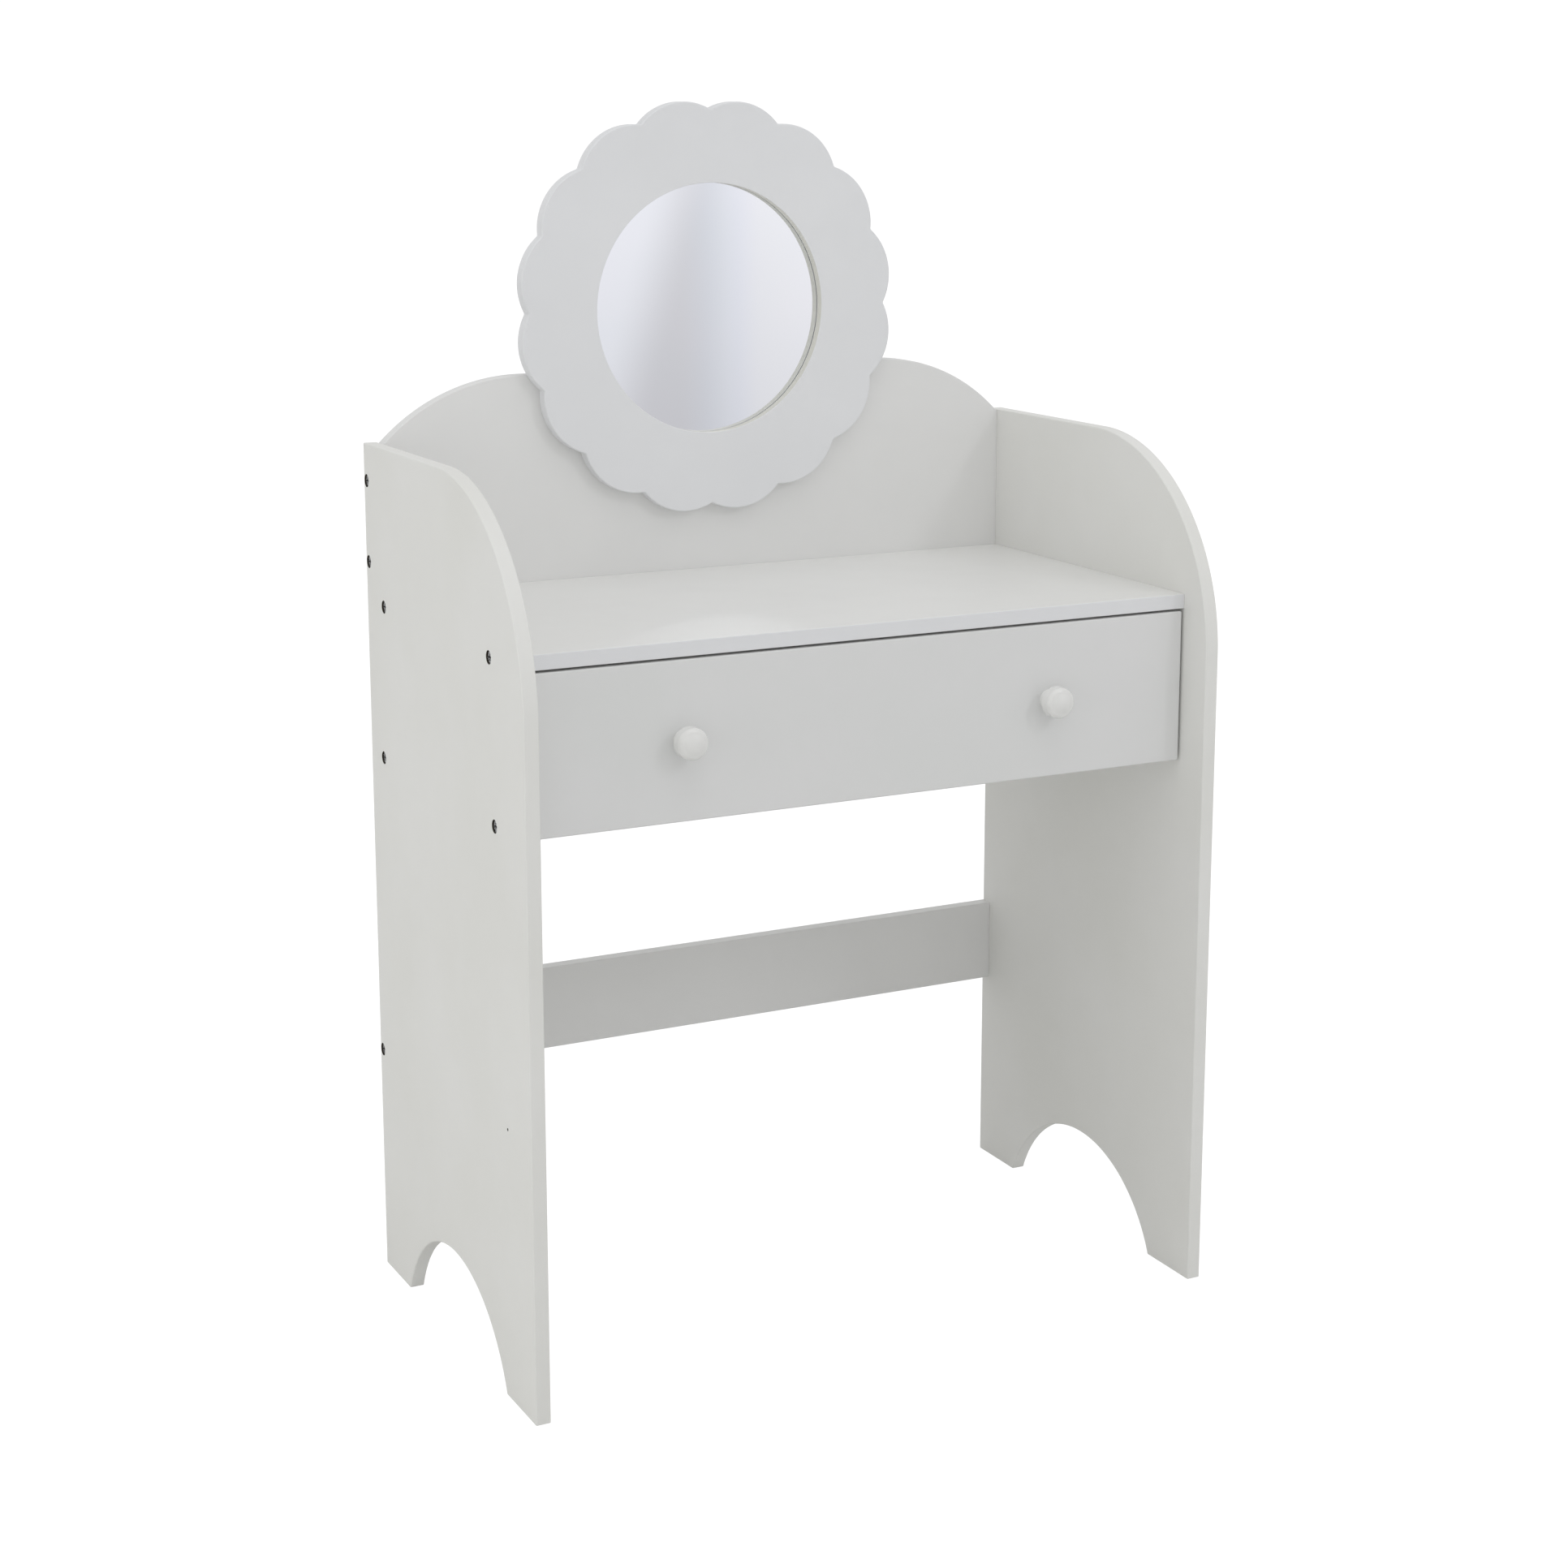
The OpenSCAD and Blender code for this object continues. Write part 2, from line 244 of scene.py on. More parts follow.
def mirror_copy(piece, name):
    """A copy of the piece on the other side of the table."""
    select_only(piece)
    bpy.ops.object.duplicate(linked=False)
    bpy.context.active_object.scale.x = -1
    twin = settle(name)
    bpy.ops.object.mode_set(mode="EDIT")
    face_outwards()
    return twin


def join_pair(left, right):
    """Joins two pieces into the left one."""
    select_only(left, right)
    bpy.ops.object.join()


# %% [markdown]
# ## Where the CAD model puts each screw
#
# A CAD node such as a set of seven screws is one mesh with seven separate solids. Walking along its edges
# from point to point finds each solid, so the screw places are read from the model and not typed again.

# %% Reading places from the CAD model
def solids_of(node):
    """The low and high corner of each separate solid in a CAD node."""
    shape = bmesh.new()
    shape.from_mesh(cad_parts[node].data)
    bmesh.ops.remove_doubles(shape, verts=shape.verts, dist=TINY / 10)
    waiting, found = set(shape.verts), []
    while waiting:
        reached, solid = [waiting.pop()], []
        while reached:
            vert = reached.pop()
            solid.append(vert.co.copy())
            for edge in vert.link_edges:
                other = edge.other_vert(vert)
                if other in waiting:
                    waiting.remove(other)
                    reached.append(other)
        axes = list(zip(*solid))
        found.append((Vector(map(min, axes)), Vector(map(max, axes))))
    shape.free()
    return sorted(found, key=lambda corners: [round(c, 5) for c in corners[0]])


def moves_between(places):
    """The steps from the first place to each of the others."""
    first = places[0][0]
    return [low - first for low, high in places[1:]]


def face_of(place, along):
    """The middle of the end where a round part starts, and how far it reaches from there."""
    low, high = place
    reach = abs((high - low).dot(along))
    return (low + high) / 2 - along * reach / 2, reach


def radius_of(place):
    """The radius of a round part that lies flat, which is half its height."""
    return (place[1].z - place[0].z) / 2


side_screw_places = solids_of("side_screws_left")
print("screws in the left panel:", len(side_screw_places))

# %% [markdown]
# ## Colour and node helpers
#
# Colours are written as the hex codes that a paint chart gives. Blender's shaders work in linear light, so
# one function converts them. Another adds a node, sets its sockets and makes its links in one call. Pattern
# sizes are given in millimetres: object coordinates are metres, so a scale is 1000 divided by the size.

# %% Linear colours, nodes and pattern sizes
def paint_code(hex_code):
    """The linear colour of an sRGB hex code."""
    channels = [int(hex_code[i : i + 2], 16) / 255 for i in (1, 3, 5)]
    linear = [c / 12.92 if c <= 0.04045 else ((c + 0.055) / 1.055) ** 2.4 for c in channels]
    return (*linear, 1.0)


def add_node(tree, kind, sockets=None, **settings):
    """Adds a node. A socket's value is a constant, or another node's output to link from."""
    made = tree.nodes.new(kind)
    for name, value in settings.items():
        setattr(made, name, value)
    for name, value in (sockets or {}).items():
        if isinstance(value, bpy.types.NodeSocket):
            tree.links.new(value, made.inputs[name])
        else:
            made.inputs[name].default_value = value
    return made


def every(size_mm):
    """The texture scale whose pattern repeats about every size_mm millimetres."""
    return 1000 / size_mm


def start_material(name):
    """A new material, its empty node tree, and object coordinates ready to use in it."""
    finish = bpy.data.materials.new(name)
    finish.use_nodes = True
    finish.node_tree.nodes.clear()
    place = add_node(finish.node_tree, "ShaderNodeTexCoord").outputs["Object"]
    return finish, finish.node_tree, place


def two_tones(tree, factor, first, second, low=0.35, high=0.65):
    """Blends two paint codes where a pattern's value runs from low to high."""
    ramp = add_node(tree, "ShaderNodeValToRGB", {"Fac": factor})
    ends = ramp.color_ramp.elements
    ends[0].position, ends[0].color = low, paint_code(first)
    ends[1].position, ends[1].color = high, paint_code(second)
    return ramp.outputs["Color"]


print("a mid grey of #808080 in linear light:", round(paint_code("#808080")[0], 3))

# %% [markdown]
# ## Satin paint on fibreboard
#
# The boards are sprayed with a white satin lacquer, sanded and sprayed again. The spray leaves a slight
# unevenness that painters call orange peel, with bumps 1 to 2 mm across, and the sheen wanders a little.
# Fibreboard has no grain to show through. A lacquer's IOR is about 1.5. Every part carries the same white
# paint, but each part's copy here is tinted warmer or cooler, lighter or darker, as painted light for the
# light
# that part gets: the side panels are the warmest, and the mirror frame is the coolest. The worktop gets one
# more coat and is glossier. The wall of the mirror's opening gets a slightly darker, warmer cream. One
# function makes them all, from two tones and two values of roughness.

# %% Satin lacquer
CLOUD_LOW, CLOUD_HIGH = 0.3, 0.7     # a noise texture's values hardly ever leave this range
PEEL_BUMP = 5                        # in mm: true bumps would be too fine to show, so they are coarser


def satin_lacquer(name, bright, shaded, sheen_low, sheen_high):
    """White sprayed lacquer whose roughness wanders between two values."""
    finish, tree, place = start_material(name)
    cloud = add_node(tree, "ShaderNodeTexNoise", {"Vector": place, "Scale": every(140), "Detail": 3.0})
    tone = two_tones(tree, cloud.outputs["Fac"], bright, shaded)
    patch = add_node(tree, "ShaderNodeTexNoise", {"Vector": place, "Scale": every(35), "Detail": 4.0})
    sheen = add_node(
        tree,
        "ShaderNodeMapRange",
        {
            "Value": patch.outputs["Fac"],
            "From Min": CLOUD_LOW,
            "From Max": CLOUD_HIGH,
            "To Min": sheen_low,
            "To Max": sheen_high,
        },
    )
    peel = add_node(tree, "ShaderNodeTexNoise", {"Vector": place, "Scale": every(PEEL_BUMP), "Detail": 2.0})
    bump = add_node(
        tree, "ShaderNodeBump", {"Strength": 0.15, "Distance": 0.02 * MM, "Height": peel.outputs["Fac"]}
    )
    shader = add_node(
        tree,
        "ShaderNodeBsdfPrincipled",
        {
            "Base Color": tone,
            "Roughness": sheen.outputs["Result"],
            "IOR": 1.5,
            "Normal": bump.outputs["Normal"],
        },
    )
    add_node(tree, "ShaderNodeOutputMaterial", {"Surface": shader.outputs["BSDF"]})
    return finish


# Painted light: these are copies of one white paint, each tinted for the light that its part gets.
panel_lacquer = satin_lacquer("satin_lacquer_side_panels", "#EDEDEA", "#EAEAE6", 0.40, 0.50)
board_lacquer = satin_lacquer("satin_lacquer_rear_boards", "#EBEBEA", "#E8E8E7", 0.40, 0.50)
front_lacquer = satin_lacquer("satin_lacquer_frame_and_edge", "#EBECEE", "#E8E9EB", 0.38, 0.48)
drawer_lacquer = satin_lacquer("satin_lacquer_drawer_front", "#E7E7E7", "#E4E5E4", 0.38, 0.48)
worktop_lacquer = satin_lacquer("satin_lacquer_worktop_extra_coat", "#EEEEEC", "#ECECEA", 0.28, 0.36)
darker_rim_lacquer = satin_lacquer("darker_lacquer_on_opening_wall", "#E7E6DE", "#E2E1D8", 0.26, 0.36)
print("lacquers:", panel_lacquer.name, board_lacquer.name, front_lacquer.name)
print("more:", drawer_lacquer.name, worktop_lacquer.name, darker_rim_lacquer.name)

# %% [markdown]
# ## The other board finishes
#
# The drawer box is made of board covered in white melamine paper, which has a fine pressed texture. Its thin
# bottom is hardboard with a white printed face. Behind the mirror is bare hardboard: wood fibres pressed hot
# into a brown sheet, streaky at the scale of the fibres. In a drilled hole the board's own bare fibres show,
# which are brown; here they are darkened almost to black, as painted shade for the deep hole. All four are
# fibres pressed together, so one function serves. Real fibres are a millimetre or so apart, and all but the
# drilled ones are drawn coarser, so that they show.

# %% Melamine, hardboard and drilled fibreboard
def pressed_sheet(name, first, second, fibre_mm, roughness, relief_mm):
    """A pressed sheet whose fibres show as a fine two-tone pattern with a little relief."""
    finish, tree, place = start_material(name)
    long_fibres = add_node(tree, "ShaderNodeMapping", {"Vector": place, "Scale": (0.35, 1.0, 0.35)})
    fibres = add_node(
        tree,
        "ShaderNodeTexNoise",
        {
            "Vector": long_fibres.outputs["Vector"],
            "Scale": every(fibre_mm),
            "Detail": 6.0,
            "Roughness": 0.65,
        },
    )
    relief = {"Strength": 0.4, "Distance": relief_mm * MM, "Height": fibres.outputs["Fac"]}
    bump = add_node(tree, "ShaderNodeBump", relief)
    shader = add_node(
        tree,
        "ShaderNodeBsdfPrincipled",
        {
            "Base Color": two_tones(tree, fibres.outputs["Fac"], first, second),
            "Roughness": roughness,
            "IOR": 1.5,
            "Normal": bump.outputs["Normal"],
        },
    )
    add_node(tree, "ShaderNodeOutputMaterial", {"Surface": shader.outputs["BSDF"]})
    return finish


box_melamine = pressed_sheet("melamine_faced_board", "#E6E6E3", "#E1E1DE", 4, 0.42, 0.03)
sheet_melamine = pressed_sheet("white_faced_hardboard", "#E3E3DE", "#DADAD4", 6, 0.5, 0.04)
bare_hardboard = pressed_sheet("bare_hardboard", "#7A5637", "#94704B", 5, 0.7, 0.1)
# Brown fibres darkened almost to black: painted shade for the inside of a hole.
drilled_fibre_painted_shade = pressed_sheet("drilled_fibreboard_painted_shade", "#2E2921", "#40392E", 1.5, 0.85, 0.05)
print("sheets:", box_melamine.name, sheet_melamine.name, bare_hardboard.name, drilled_fibre_painted_shade.name)

# %% [markdown]
# ## Metals
#
# The screws and bolts are steel with a thin zinc plating. Its colour is clouded from mid to light grey:
# partly the plating's own cloudy tone and partly painted glints and dark reflections. The cam locks are zinc
# cast in a die, a duller and more even grey. A metal's colour is the colour of its reflection. The driver's
# cross in a screw head is deep, so its faces get a near-black metal of their own, as painted shade. Metals
# keep the default IOR.

# %% Zinc plating, cast zinc and a dark recess
def grey_metal(name, first, second, cloud_mm, rough_low, rough_high):
    """A grey metal with cloudy colour and wandering roughness."""
    finish, tree, place = start_material(name)
    cloud = add_node(tree, "ShaderNodeTexNoise", {"Vector": place, "Scale": every(cloud_mm), "Detail": 5.0})
    rough = add_node(
        tree,
        "ShaderNodeMapRange",
        {
            "Value": cloud.outputs["Fac"],
            "From Min": CLOUD_LOW,
            "From Max": CLOUD_HIGH,
            "To Min": rough_low,
            "To Max": rough_high,
        },
    )
    shader = add_node(
        tree,
        "ShaderNodeBsdfPrincipled",
        {
            "Base Color": two_tones(tree, cloud.outputs["Fac"], first, second),
            "Metallic": 1.0,
            "Roughness": rough.outputs["Result"],
        },
    )
    add_node(tree, "ShaderNodeOutputMaterial", {"Surface": shader.outputs["BSDF"]})
    return finish


# The plating's light and dark clouds are partly painted glints and dark reflections.
zinc_and_painted_glints = grey_metal("zinc_plated_steel_and_painted_glints", "#85878A", "#E0E1E3", 1.2, 0.16, 0.32)
# The recess metal is near black as painted shade.
recess_painted_shade = grey_metal("driver_recess_painted_shade", "#1C1C1D", "#39393A", 1.0, 0.35, 0.5)
cast_zinc = grey_metal("die_cast_zinc", "#A3A4A4", "#B4B5B5", 4, 0.4, 0.55)
print("metals:", zinc_and_painted_glints.name, recess_painted_shade.name, cast_zinc.name)

# %% [markdown]
# ## Beech, knob plastic and mirror
#
# Dowels are rolled from beech, a pale pinkish wood with short dark flecks along the grain. The knobs are
# moulded in a glossy white plastic such as ABS, smooth enough to show the lamps as small bright spots. The
# mirror is float glass silvered behind: it reflects nearly everything, with a faint cool cast from the
# glass. Knob and mirror are both smooth with a faint ripple, from the mould or from the float bath, so one
# function serves, and each adds its own values for the shader.

# %% Beech dowels
def beech_wood():
    """Pale beech with grain and flecks drawn along the dowels, which lie across the table."""
    finish, tree, place = start_material("rolled_beech")
    stretched = add_node(tree, "ShaderNodeMapping", {"Vector": place, "Scale": (0.12, 1.0, 1.0)})
    grain = add_node(
        tree,
        "ShaderNodeTexNoise",
        {"Vector": stretched.outputs["Vector"], "Scale": every(1.5), "Detail": 5.0},
    )
    tone = two_tones(tree, grain.outputs["Fac"], "#E0BE93", "#BE9566")
    shader = add_node(tree, "ShaderNodeBsdfPrincipled", {"Base Color": tone, "Roughness": 0.62, "IOR": 1.5})
    add_node(tree, "ShaderNodeOutputMaterial", {"Surface": shader.outputs["BSDF"]})
    return finish


beech = beech_wood()

# %% Moulded knob plastic and silvered float glass
def smooth_finish(name, first, second, ripple_mm, strength, height_mm, look):
    """A very smooth surface with a faint ripple. The look is what else its shader needs."""
    finish, tree, place = start_material(name)
    ripple = add_node(tree, "ShaderNodeTexNoise", {"Vector": place, "Scale": every(ripple_mm), "Detail": 1.0})
    relief = {"Strength": strength, "Distance": height_mm * MM, "Height": ripple.outputs["Fac"]}
    bump = add_node(tree, "ShaderNodeBump", relief)
    tone = two_tones(tree, ripple.outputs["Fac"], first, second)
    surface = {"Base Color": tone, "Normal": bump.outputs["Normal"], **look}
    shader = add_node(tree, "ShaderNodeBsdfPrincipled", surface)
    add_node(tree, "ShaderNodeOutputMaterial", {"Surface": shader.outputs["BSDF"]})
    return finish


plastic_look = {"Roughness": 0.14, "IOR": 1.52, "Coat Weight": 0.4, "Coat Roughness": 0.05}
glossy_plastic = smooth_finish("moulded_white_plastic", "#EEEEEC", "#EBEBE9", 9, 0.3, 0.04, plastic_look)
silver_look = {"Metallic": 1.0, "Roughness": 0.03}
mirror_silver = smooth_finish("silvered_float_glass", "#F6F7F9", "#F4F6F8", 90, 0.1, 0.02, silver_look)
print("small parts:", beech.name, glossy_plastic.name, mirror_silver.name)

# %% [markdown]
# ## Finishing a piece
#
# Every piece ends the same way. Smooth shading by angle keeps flat faces apart and makes rounded edges look
# round. A Weighted Normal modifier then bends the shading at the rim, so that the big faces look perfectly
# flat. Last, the piece is parented to an empty for the body that it moves with, and the CAD part that it
# stands for is hidden. A few pieces show a second finish on some faces, such as a hole's wall. It goes into a
# second material slot, and those faces are picked in code.

# %% Shading a piece and tying it to the table
SMOOTH_BELOW = math.radians(32)     # faces that meet at less than this angle are shaded as one curve


def finish_piece(piece, body, slot, finish, *nodes):
    """Shades the piece, gives it its material, and lets it ride on its CAD body."""
    select_only(piece)
    bpy.ops.object.shade_smooth_by_angle(angle=SMOOTH_BELOW)
    firm = piece.modifiers.new("firm_faces", "WEIGHTED_NORMAL")
    firm.keep_sharp = True
    bpy.ops.object.modifier_apply(modifier=firm.name)
    piece.data.materials.clear()
    piece.data.materials.append(finish)
    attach(piece, body)
    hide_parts(*nodes)
    size = [round(d / MM, 1) for d in piece.dimensions]
    print(piece.name, size, "mm,", len(piece.data.polygons), "faces")


def second_finish(piece, finish, belongs):
    """Gives another material to the faces whose middle and outward direction pass the test."""
    piece.data.materials.append(finish)
    chosen = [face for face in piece.data.polygons if belongs(face.center, face.normal)]
    for face in chosen:
        face.material_index = len(piece.data.materials) - 1
    print(piece.name, "has", len(chosen), "faces of", finish.name)


def off_axis(point, places):
    """How far a point is from the nearest screw's axis, for screws that lie across the table."""
    middles = [(low + high) / 2 for low, high in places]
    return min(math.hypot(point.y - middle.y, point.z - middle.z) for middle in middles)


# %% [markdown]
# ## The screw holes, as one drilling jig
#
# A workshop drills every panel through the same jig. This one is a solid with the shape of all seven holes
# of a side: a wide bore that sinks the head, a cone under it and a narrow bore for the shank. Paint rounds
# the bore's rim, so the bore flares slightly at the face.

# %% The screw jigs of both sides
panel_low, panel_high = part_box("left_side_panel")
HEAD_BORE = 5.25 * MM
SHANK_BORE = 2.55 * MM
RIM_FLARE = 0.25 * MM
FLARE_DEPTH = 0.3 * MM
FLARE_STEPS = 4
HEAD_SUNK = 1.7 * MM     # depth where the bore's straight wall ends and its cone starts
INWARDS = Vector((1, 0, 0))


def screw_bore(name, start, along, length):
    """The shape of one hole, from outside the face to just past the screw's tip."""
    cone = HEAD_BORE - SHANK_BORE
    rings = [(HEAD_BORE + RIM_FLARE, -OVERSHOOT)]
    for step in range(FLARE_STEPS + 1):
        share = step / FLARE_STEPS
        rings.append((HEAD_BORE + RIM_FLARE * (1 - share) ** 2, FLARE_DEPTH * share))
    rings += [(HEAD_BORE, HEAD_SUNK), (SHANK_BORE, HEAD_SUNK + cone), (SHANK_BORE, length)]
    return turn(name, rings, start, along)


head_face, screw_length = face_of(side_screw_places[0], INWARDS)
bore_start = Vector((panel_low.x, head_face.y, head_face.z))
bore_length = head_face.x - panel_low.x + screw_length + OVERSHOOT
bore = screw_bore("left_jig", bore_start, INWARDS, bore_length)
left_jig = repeat_at(bore, moves_between(side_screw_places))
right_jig = mirror_copy(left_jig, "right_jig")
print("holes in one jig:", len(side_screw_places))

# %% [markdown]
# Dowels, bolts and cam locks sit in plain round holes. Their cutter is the CAD part's own size with a little
# play added, so that two surfaces never share one place.

# %% The dowel jigs of both sides
PLAY = 0.05 * MM         # clearance round a fitting in its hole


def rod_cutter(name, node, along, radius=None):
    """Plain rods with a little play, one for each round part in a CAD node, as one cutter."""
    places = solids_of(node)
    start, reach = face_of(places[0], along)
    radius = radius or radius_of(places[0])
    rings = [(radius + PLAY, -PLAY), (radius + PLAY, reach + PLAY)]
    return repeat_at(turn(name, rings, start, along, sides=32), moves_between(places))


left_dowels = rod_cutter("left_dowel_jig", "dowels_left", INWARDS)
right_dowels = mirror_copy(left_dowels, "right_dowel_jig")
side_jigs = (left_jig, right_jig, left_dowels, right_dowels)
print("jigs for the side panels:", [jig.name for jig in side_jigs])

# %% [markdown]
# ## The side panels
#
# Each side is one board: 340 mm deep, 702 mm high, with a big round corner at the front and an arch that
# leaves two feet. The round corner is a bevel of a single edge. The arch is part of a circle, which passes
# through the two feet's inner corners and the arch's top, so its radius follows from span and height.

# %% The left panel's outline
CORNER_RADIUS = 168 * MM
CORNER_STEPS = 56        # enough flat facets for a corner of this size to look round
FOOT_LENGTH = 60 * MM
ARCH_HEIGHT = 74 * MM

left_panel = add_board("left_panel", panel_low, panel_high)
round_edges(
    left_panel,
    lambda a, b: level(panel_low.y, a.y, b.y) and level(panel_high.z, a.z, b.z),
    CORNER_RADIUS,
    steps=CORNER_STEPS,
)
half_span = (panel_high.y - panel_low.y) / 2 - FOOT_LENGTH
arch_radius = (half_span**2 + ARCH_HEIGHT**2) / (2 * ARCH_HEIGHT)
panel_middle = (panel_low + panel_high) / 2
arch_centre = (panel_middle.x, panel_middle.y, ARCH_HEIGHT - arch_radius)
arch_depth = 3 * (panel_high.x - panel_low.x)
carve(left_panel, add_cylinder("arch", arch_centre, arch_radius, arch_depth, ALONG_X))
print("arch radius in mm:", round(arch_radius / MM, 1))

# %% [markdown]
# The edges are routed before any hole is drilled, so that the edge test finds only the outline. The feet are
# eased less than the rest. The right panel is copied before the left one gets its own small pin hole, low on
# the outer face. Bare drilled fibres then show inside every hole, darkened almost to black as painted shade.

# %% Its routed edges, screw holes and small pin mark
PIN_MARK_RADIUS = 1.2 * MM
PIN_MARK_PLACE = (-123 * MM, 218 * MM)     # along the table's depth, and above the floor


def on_outline(a, b):
    """An edge round one of the two big faces, away from the floor."""
    on_one_face = level(panel_low.x, a.x, b.x) or level(panel_high.x, a.x, b.x)
    return on_one_face and not level(panel_low.z, a.z, b.z)


round_edges(left_panel, on_outline, ROUTED)
round_edges(left_panel, lambda a, b: level(panel_low.z, a.z, b.z), EASED, steps=2)
right_panel = mirror_copy(left_panel, "right_panel")
pin_start = Vector((panel_low.x, *PIN_MARK_PLACE))
pin_rings = [(PIN_MARK_RADIUS, -OVERSHOOT), (PIN_MARK_RADIUS, 0.5 * MM), (PIN_MARK_RADIUS / 2, 1.5 * MM)]
carve(left_panel, turn("pin", pin_rings, pin_start, INWARDS, sides=24))
drill(left_panel, left_jig, left_dowels)
drill(right_panel, right_jig, right_dowels)
finish_piece(left_panel, "table", "painted_mdf", panel_lacquer, "left_side_panel")
finish_piece(right_panel, "table", "painted_mdf", panel_lacquer, "right_side_panel")


def in_a_hole(middle, outwards):
    """A face of a screw hole's wall, below the painted rim, or of the pin mark."""
    is_wall = abs(outwards.x) < 0.95
    in_screw_hole = is_wall and off_axis(middle, side_screw_places) < HEAD_BORE
    return in_screw_hole or off_axis(middle, [(pin_start, pin_start)]) < PIN_MARK_RADIUS


# The walls of the holes and the pin mark get the near-black fibreboard, as painted shade.
for panel in (left_panel, right_panel):
    second_finish(panel, drilled_fibre_painted_shade, in_a_hole)

# %% [markdown]
# ## Worktop, bay floor and stretcher
#
# Three straight boards stand between the side panels. Their long edges are routed lightly. Their ends butt
# against the panels, and the slight easing there leaves the thin line that a butt joint shows. The worktop's
# front edge gets the cooler white of the mirror frame, as painted light for the cooler light from the front.

# %% Three straight boards
LIGHTLY_ROUTED = 0.8 * MM


def straight_board(name, node, finish):
    """A board between the side panels: long edges routed, ends eased, both ends drilled."""
    low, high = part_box(node)
    piece = add_board(name, low, high)
    round_edges(piece, lambda a, b: level(a.y, b.y) and level(a.z, b.z), LIGHTLY_ROUTED)
    round_edges(piece, lambda a, b: level(low.x, a.x, b.x) or level(high.x, a.x, b.x), EASED, steps=2)
    drill(piece, *side_jigs)
    finish_piece(piece, "table", "painted_mdf", finish, node)
    return piece


def faces_front(middle, outwards):
    """A face within 45 degrees of the front."""
    return outwards.y < -0.7


worktop = straight_board("worktop", "table_top", worktop_lacquer)
# Painted light: the worktop's front edge gets the cooler white of front-lit faces.
second_finish(worktop, front_lacquer, faces_front)
straight_board("bay_floor", "bottom_panel", board_lacquer)
straight_board("rear_stretcher", "stretcher_rail", board_lacquer)

# %% [markdown]
# ## The back board
#
# Its flat top runs out into two round shoulders, which the side panels cut off before they reach a quarter
# turn. So the board starts wider than it will be, both top corners are bevelled to the full radius, and the
# bisect operator then trims each end where the side panel stands.

# %% Shoulders and trimmed ends
SHOULDER_RADIUS = 170 * MM
SHOULDER_CENTRE = 166 * MM

back_low, back_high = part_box("back_board")
full_half_width = SHOULDER_CENTRE + SHOULDER_RADIUS
back = add_board(
    "shouldered_back",
    (-full_half_width, back_low.y, back_low.z),
    (full_half_width, back_high.y, back_high.z),
)
round_edges(
    back,
    lambda a, b: level(a.x, b.x) and level(back_high.z, a.z, b.z),
    SHOULDER_RADIUS,
    steps=CORNER_STEPS,
)
bpy.ops.object.mode_set(mode="EDIT")
for trim_x in (back_low.x, back_high.x):
    bpy.ops.mesh.select_all(action="SELECT")
    away = math.copysign(1, trim_x)
    bpy.ops.mesh.bisect(plane_co=(trim_x, 0, 0), plane_no=(away, 0, 0), use_fill=True, clear_outer=True)
bpy.ops.object.mode_set(mode="OBJECT")


def at_back_end(a, b):
    """An edge at one of the trimmed ends."""
    return level(back_low.x, a.x, b.x) or level(back_high.x, a.x, b.x)


def on_back_rim(a, b):
    """An edge of the front or rear face, but not at the trimmed ends."""
    on_one_face = level(back_low.y, a.y, b.y) or level(back_high.y, a.y, b.y)
    return on_one_face and not at_back_end(a, b)


round_edges(back, on_back_rim, ROUTED)
print("edges eased at the ends:", round_edges(back, at_back_end, EASED, steps=2))

# %% [markdown]
# Four small screws come through the back board into the mirror frame. Their heads lie flush in cones that
# are cut from behind. The same cutter serves the frame later.

# %% The back board's screw holes
FORWARDS, BACKWARDS = Vector((0, -1, 0)), Vector((0, 1, 0))
SMALL_SHANK = 2 * MM
HEAD_RIM = 0.5 * MM      # the straight edge of a countersunk head, above its cone


def screw_cutter(name, places, along, shank_radius):
    """The holes for a set of countersunk screws whose heads lie flush, as one cutter."""
    start, reach = face_of(places[0], along)
    head = radius_of(places[0]) + PLAY
    shank = shank_radius + PLAY
    cone_end = HEAD_RIM + head - shank
    rings = [(head, -OVERSHOOT), (head, HEAD_RIM), (shank, cone_end), (shank, reach + OVERSHOOT)]
    return repeat_at(turn(name, rings, start, along, sides=40), moves_between(places))


frame_screw_places = solids_of("mirror_screws")
frame_screw_holes = screw_cutter("frame_screw_holes", frame_screw_places, FORWARDS, SMALL_SHANK)
drill(back, *side_jigs, frame_screw_holes)
finish_piece(back, "table", "painted_mdf", board_lacquer, "back_board")

# %% [markdown]
# ## The scalloped mirror frame
#
# Sixteen round lobes make the frame's outline. One lobe is an arc of a circle between two notches: a circle
# is added at the lobe's centre and bisected along the two notch directions. The spin operator then repeats
# that arc sixteen times round the mirror's centre, and merging the doubled points closes the outline.

# %% One lobe, repeated sixteen times
LOBES = 16
LOBE_RADIUS = 50 * MM
LOBE_RING = 122.5 * MM
OPENING_RADIUS = 104 * MM
LOBE_CIRCLE_SIDES = 96

frame_low, frame_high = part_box("mirror_frame")
mirror_low, mirror_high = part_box("mirror_glass")
mirror_middle = (mirror_low + mirror_high) / 2
frame_front = Vector((0, frame_low.y, mirror_middle.z))
half_lobe = math.pi / LOBES

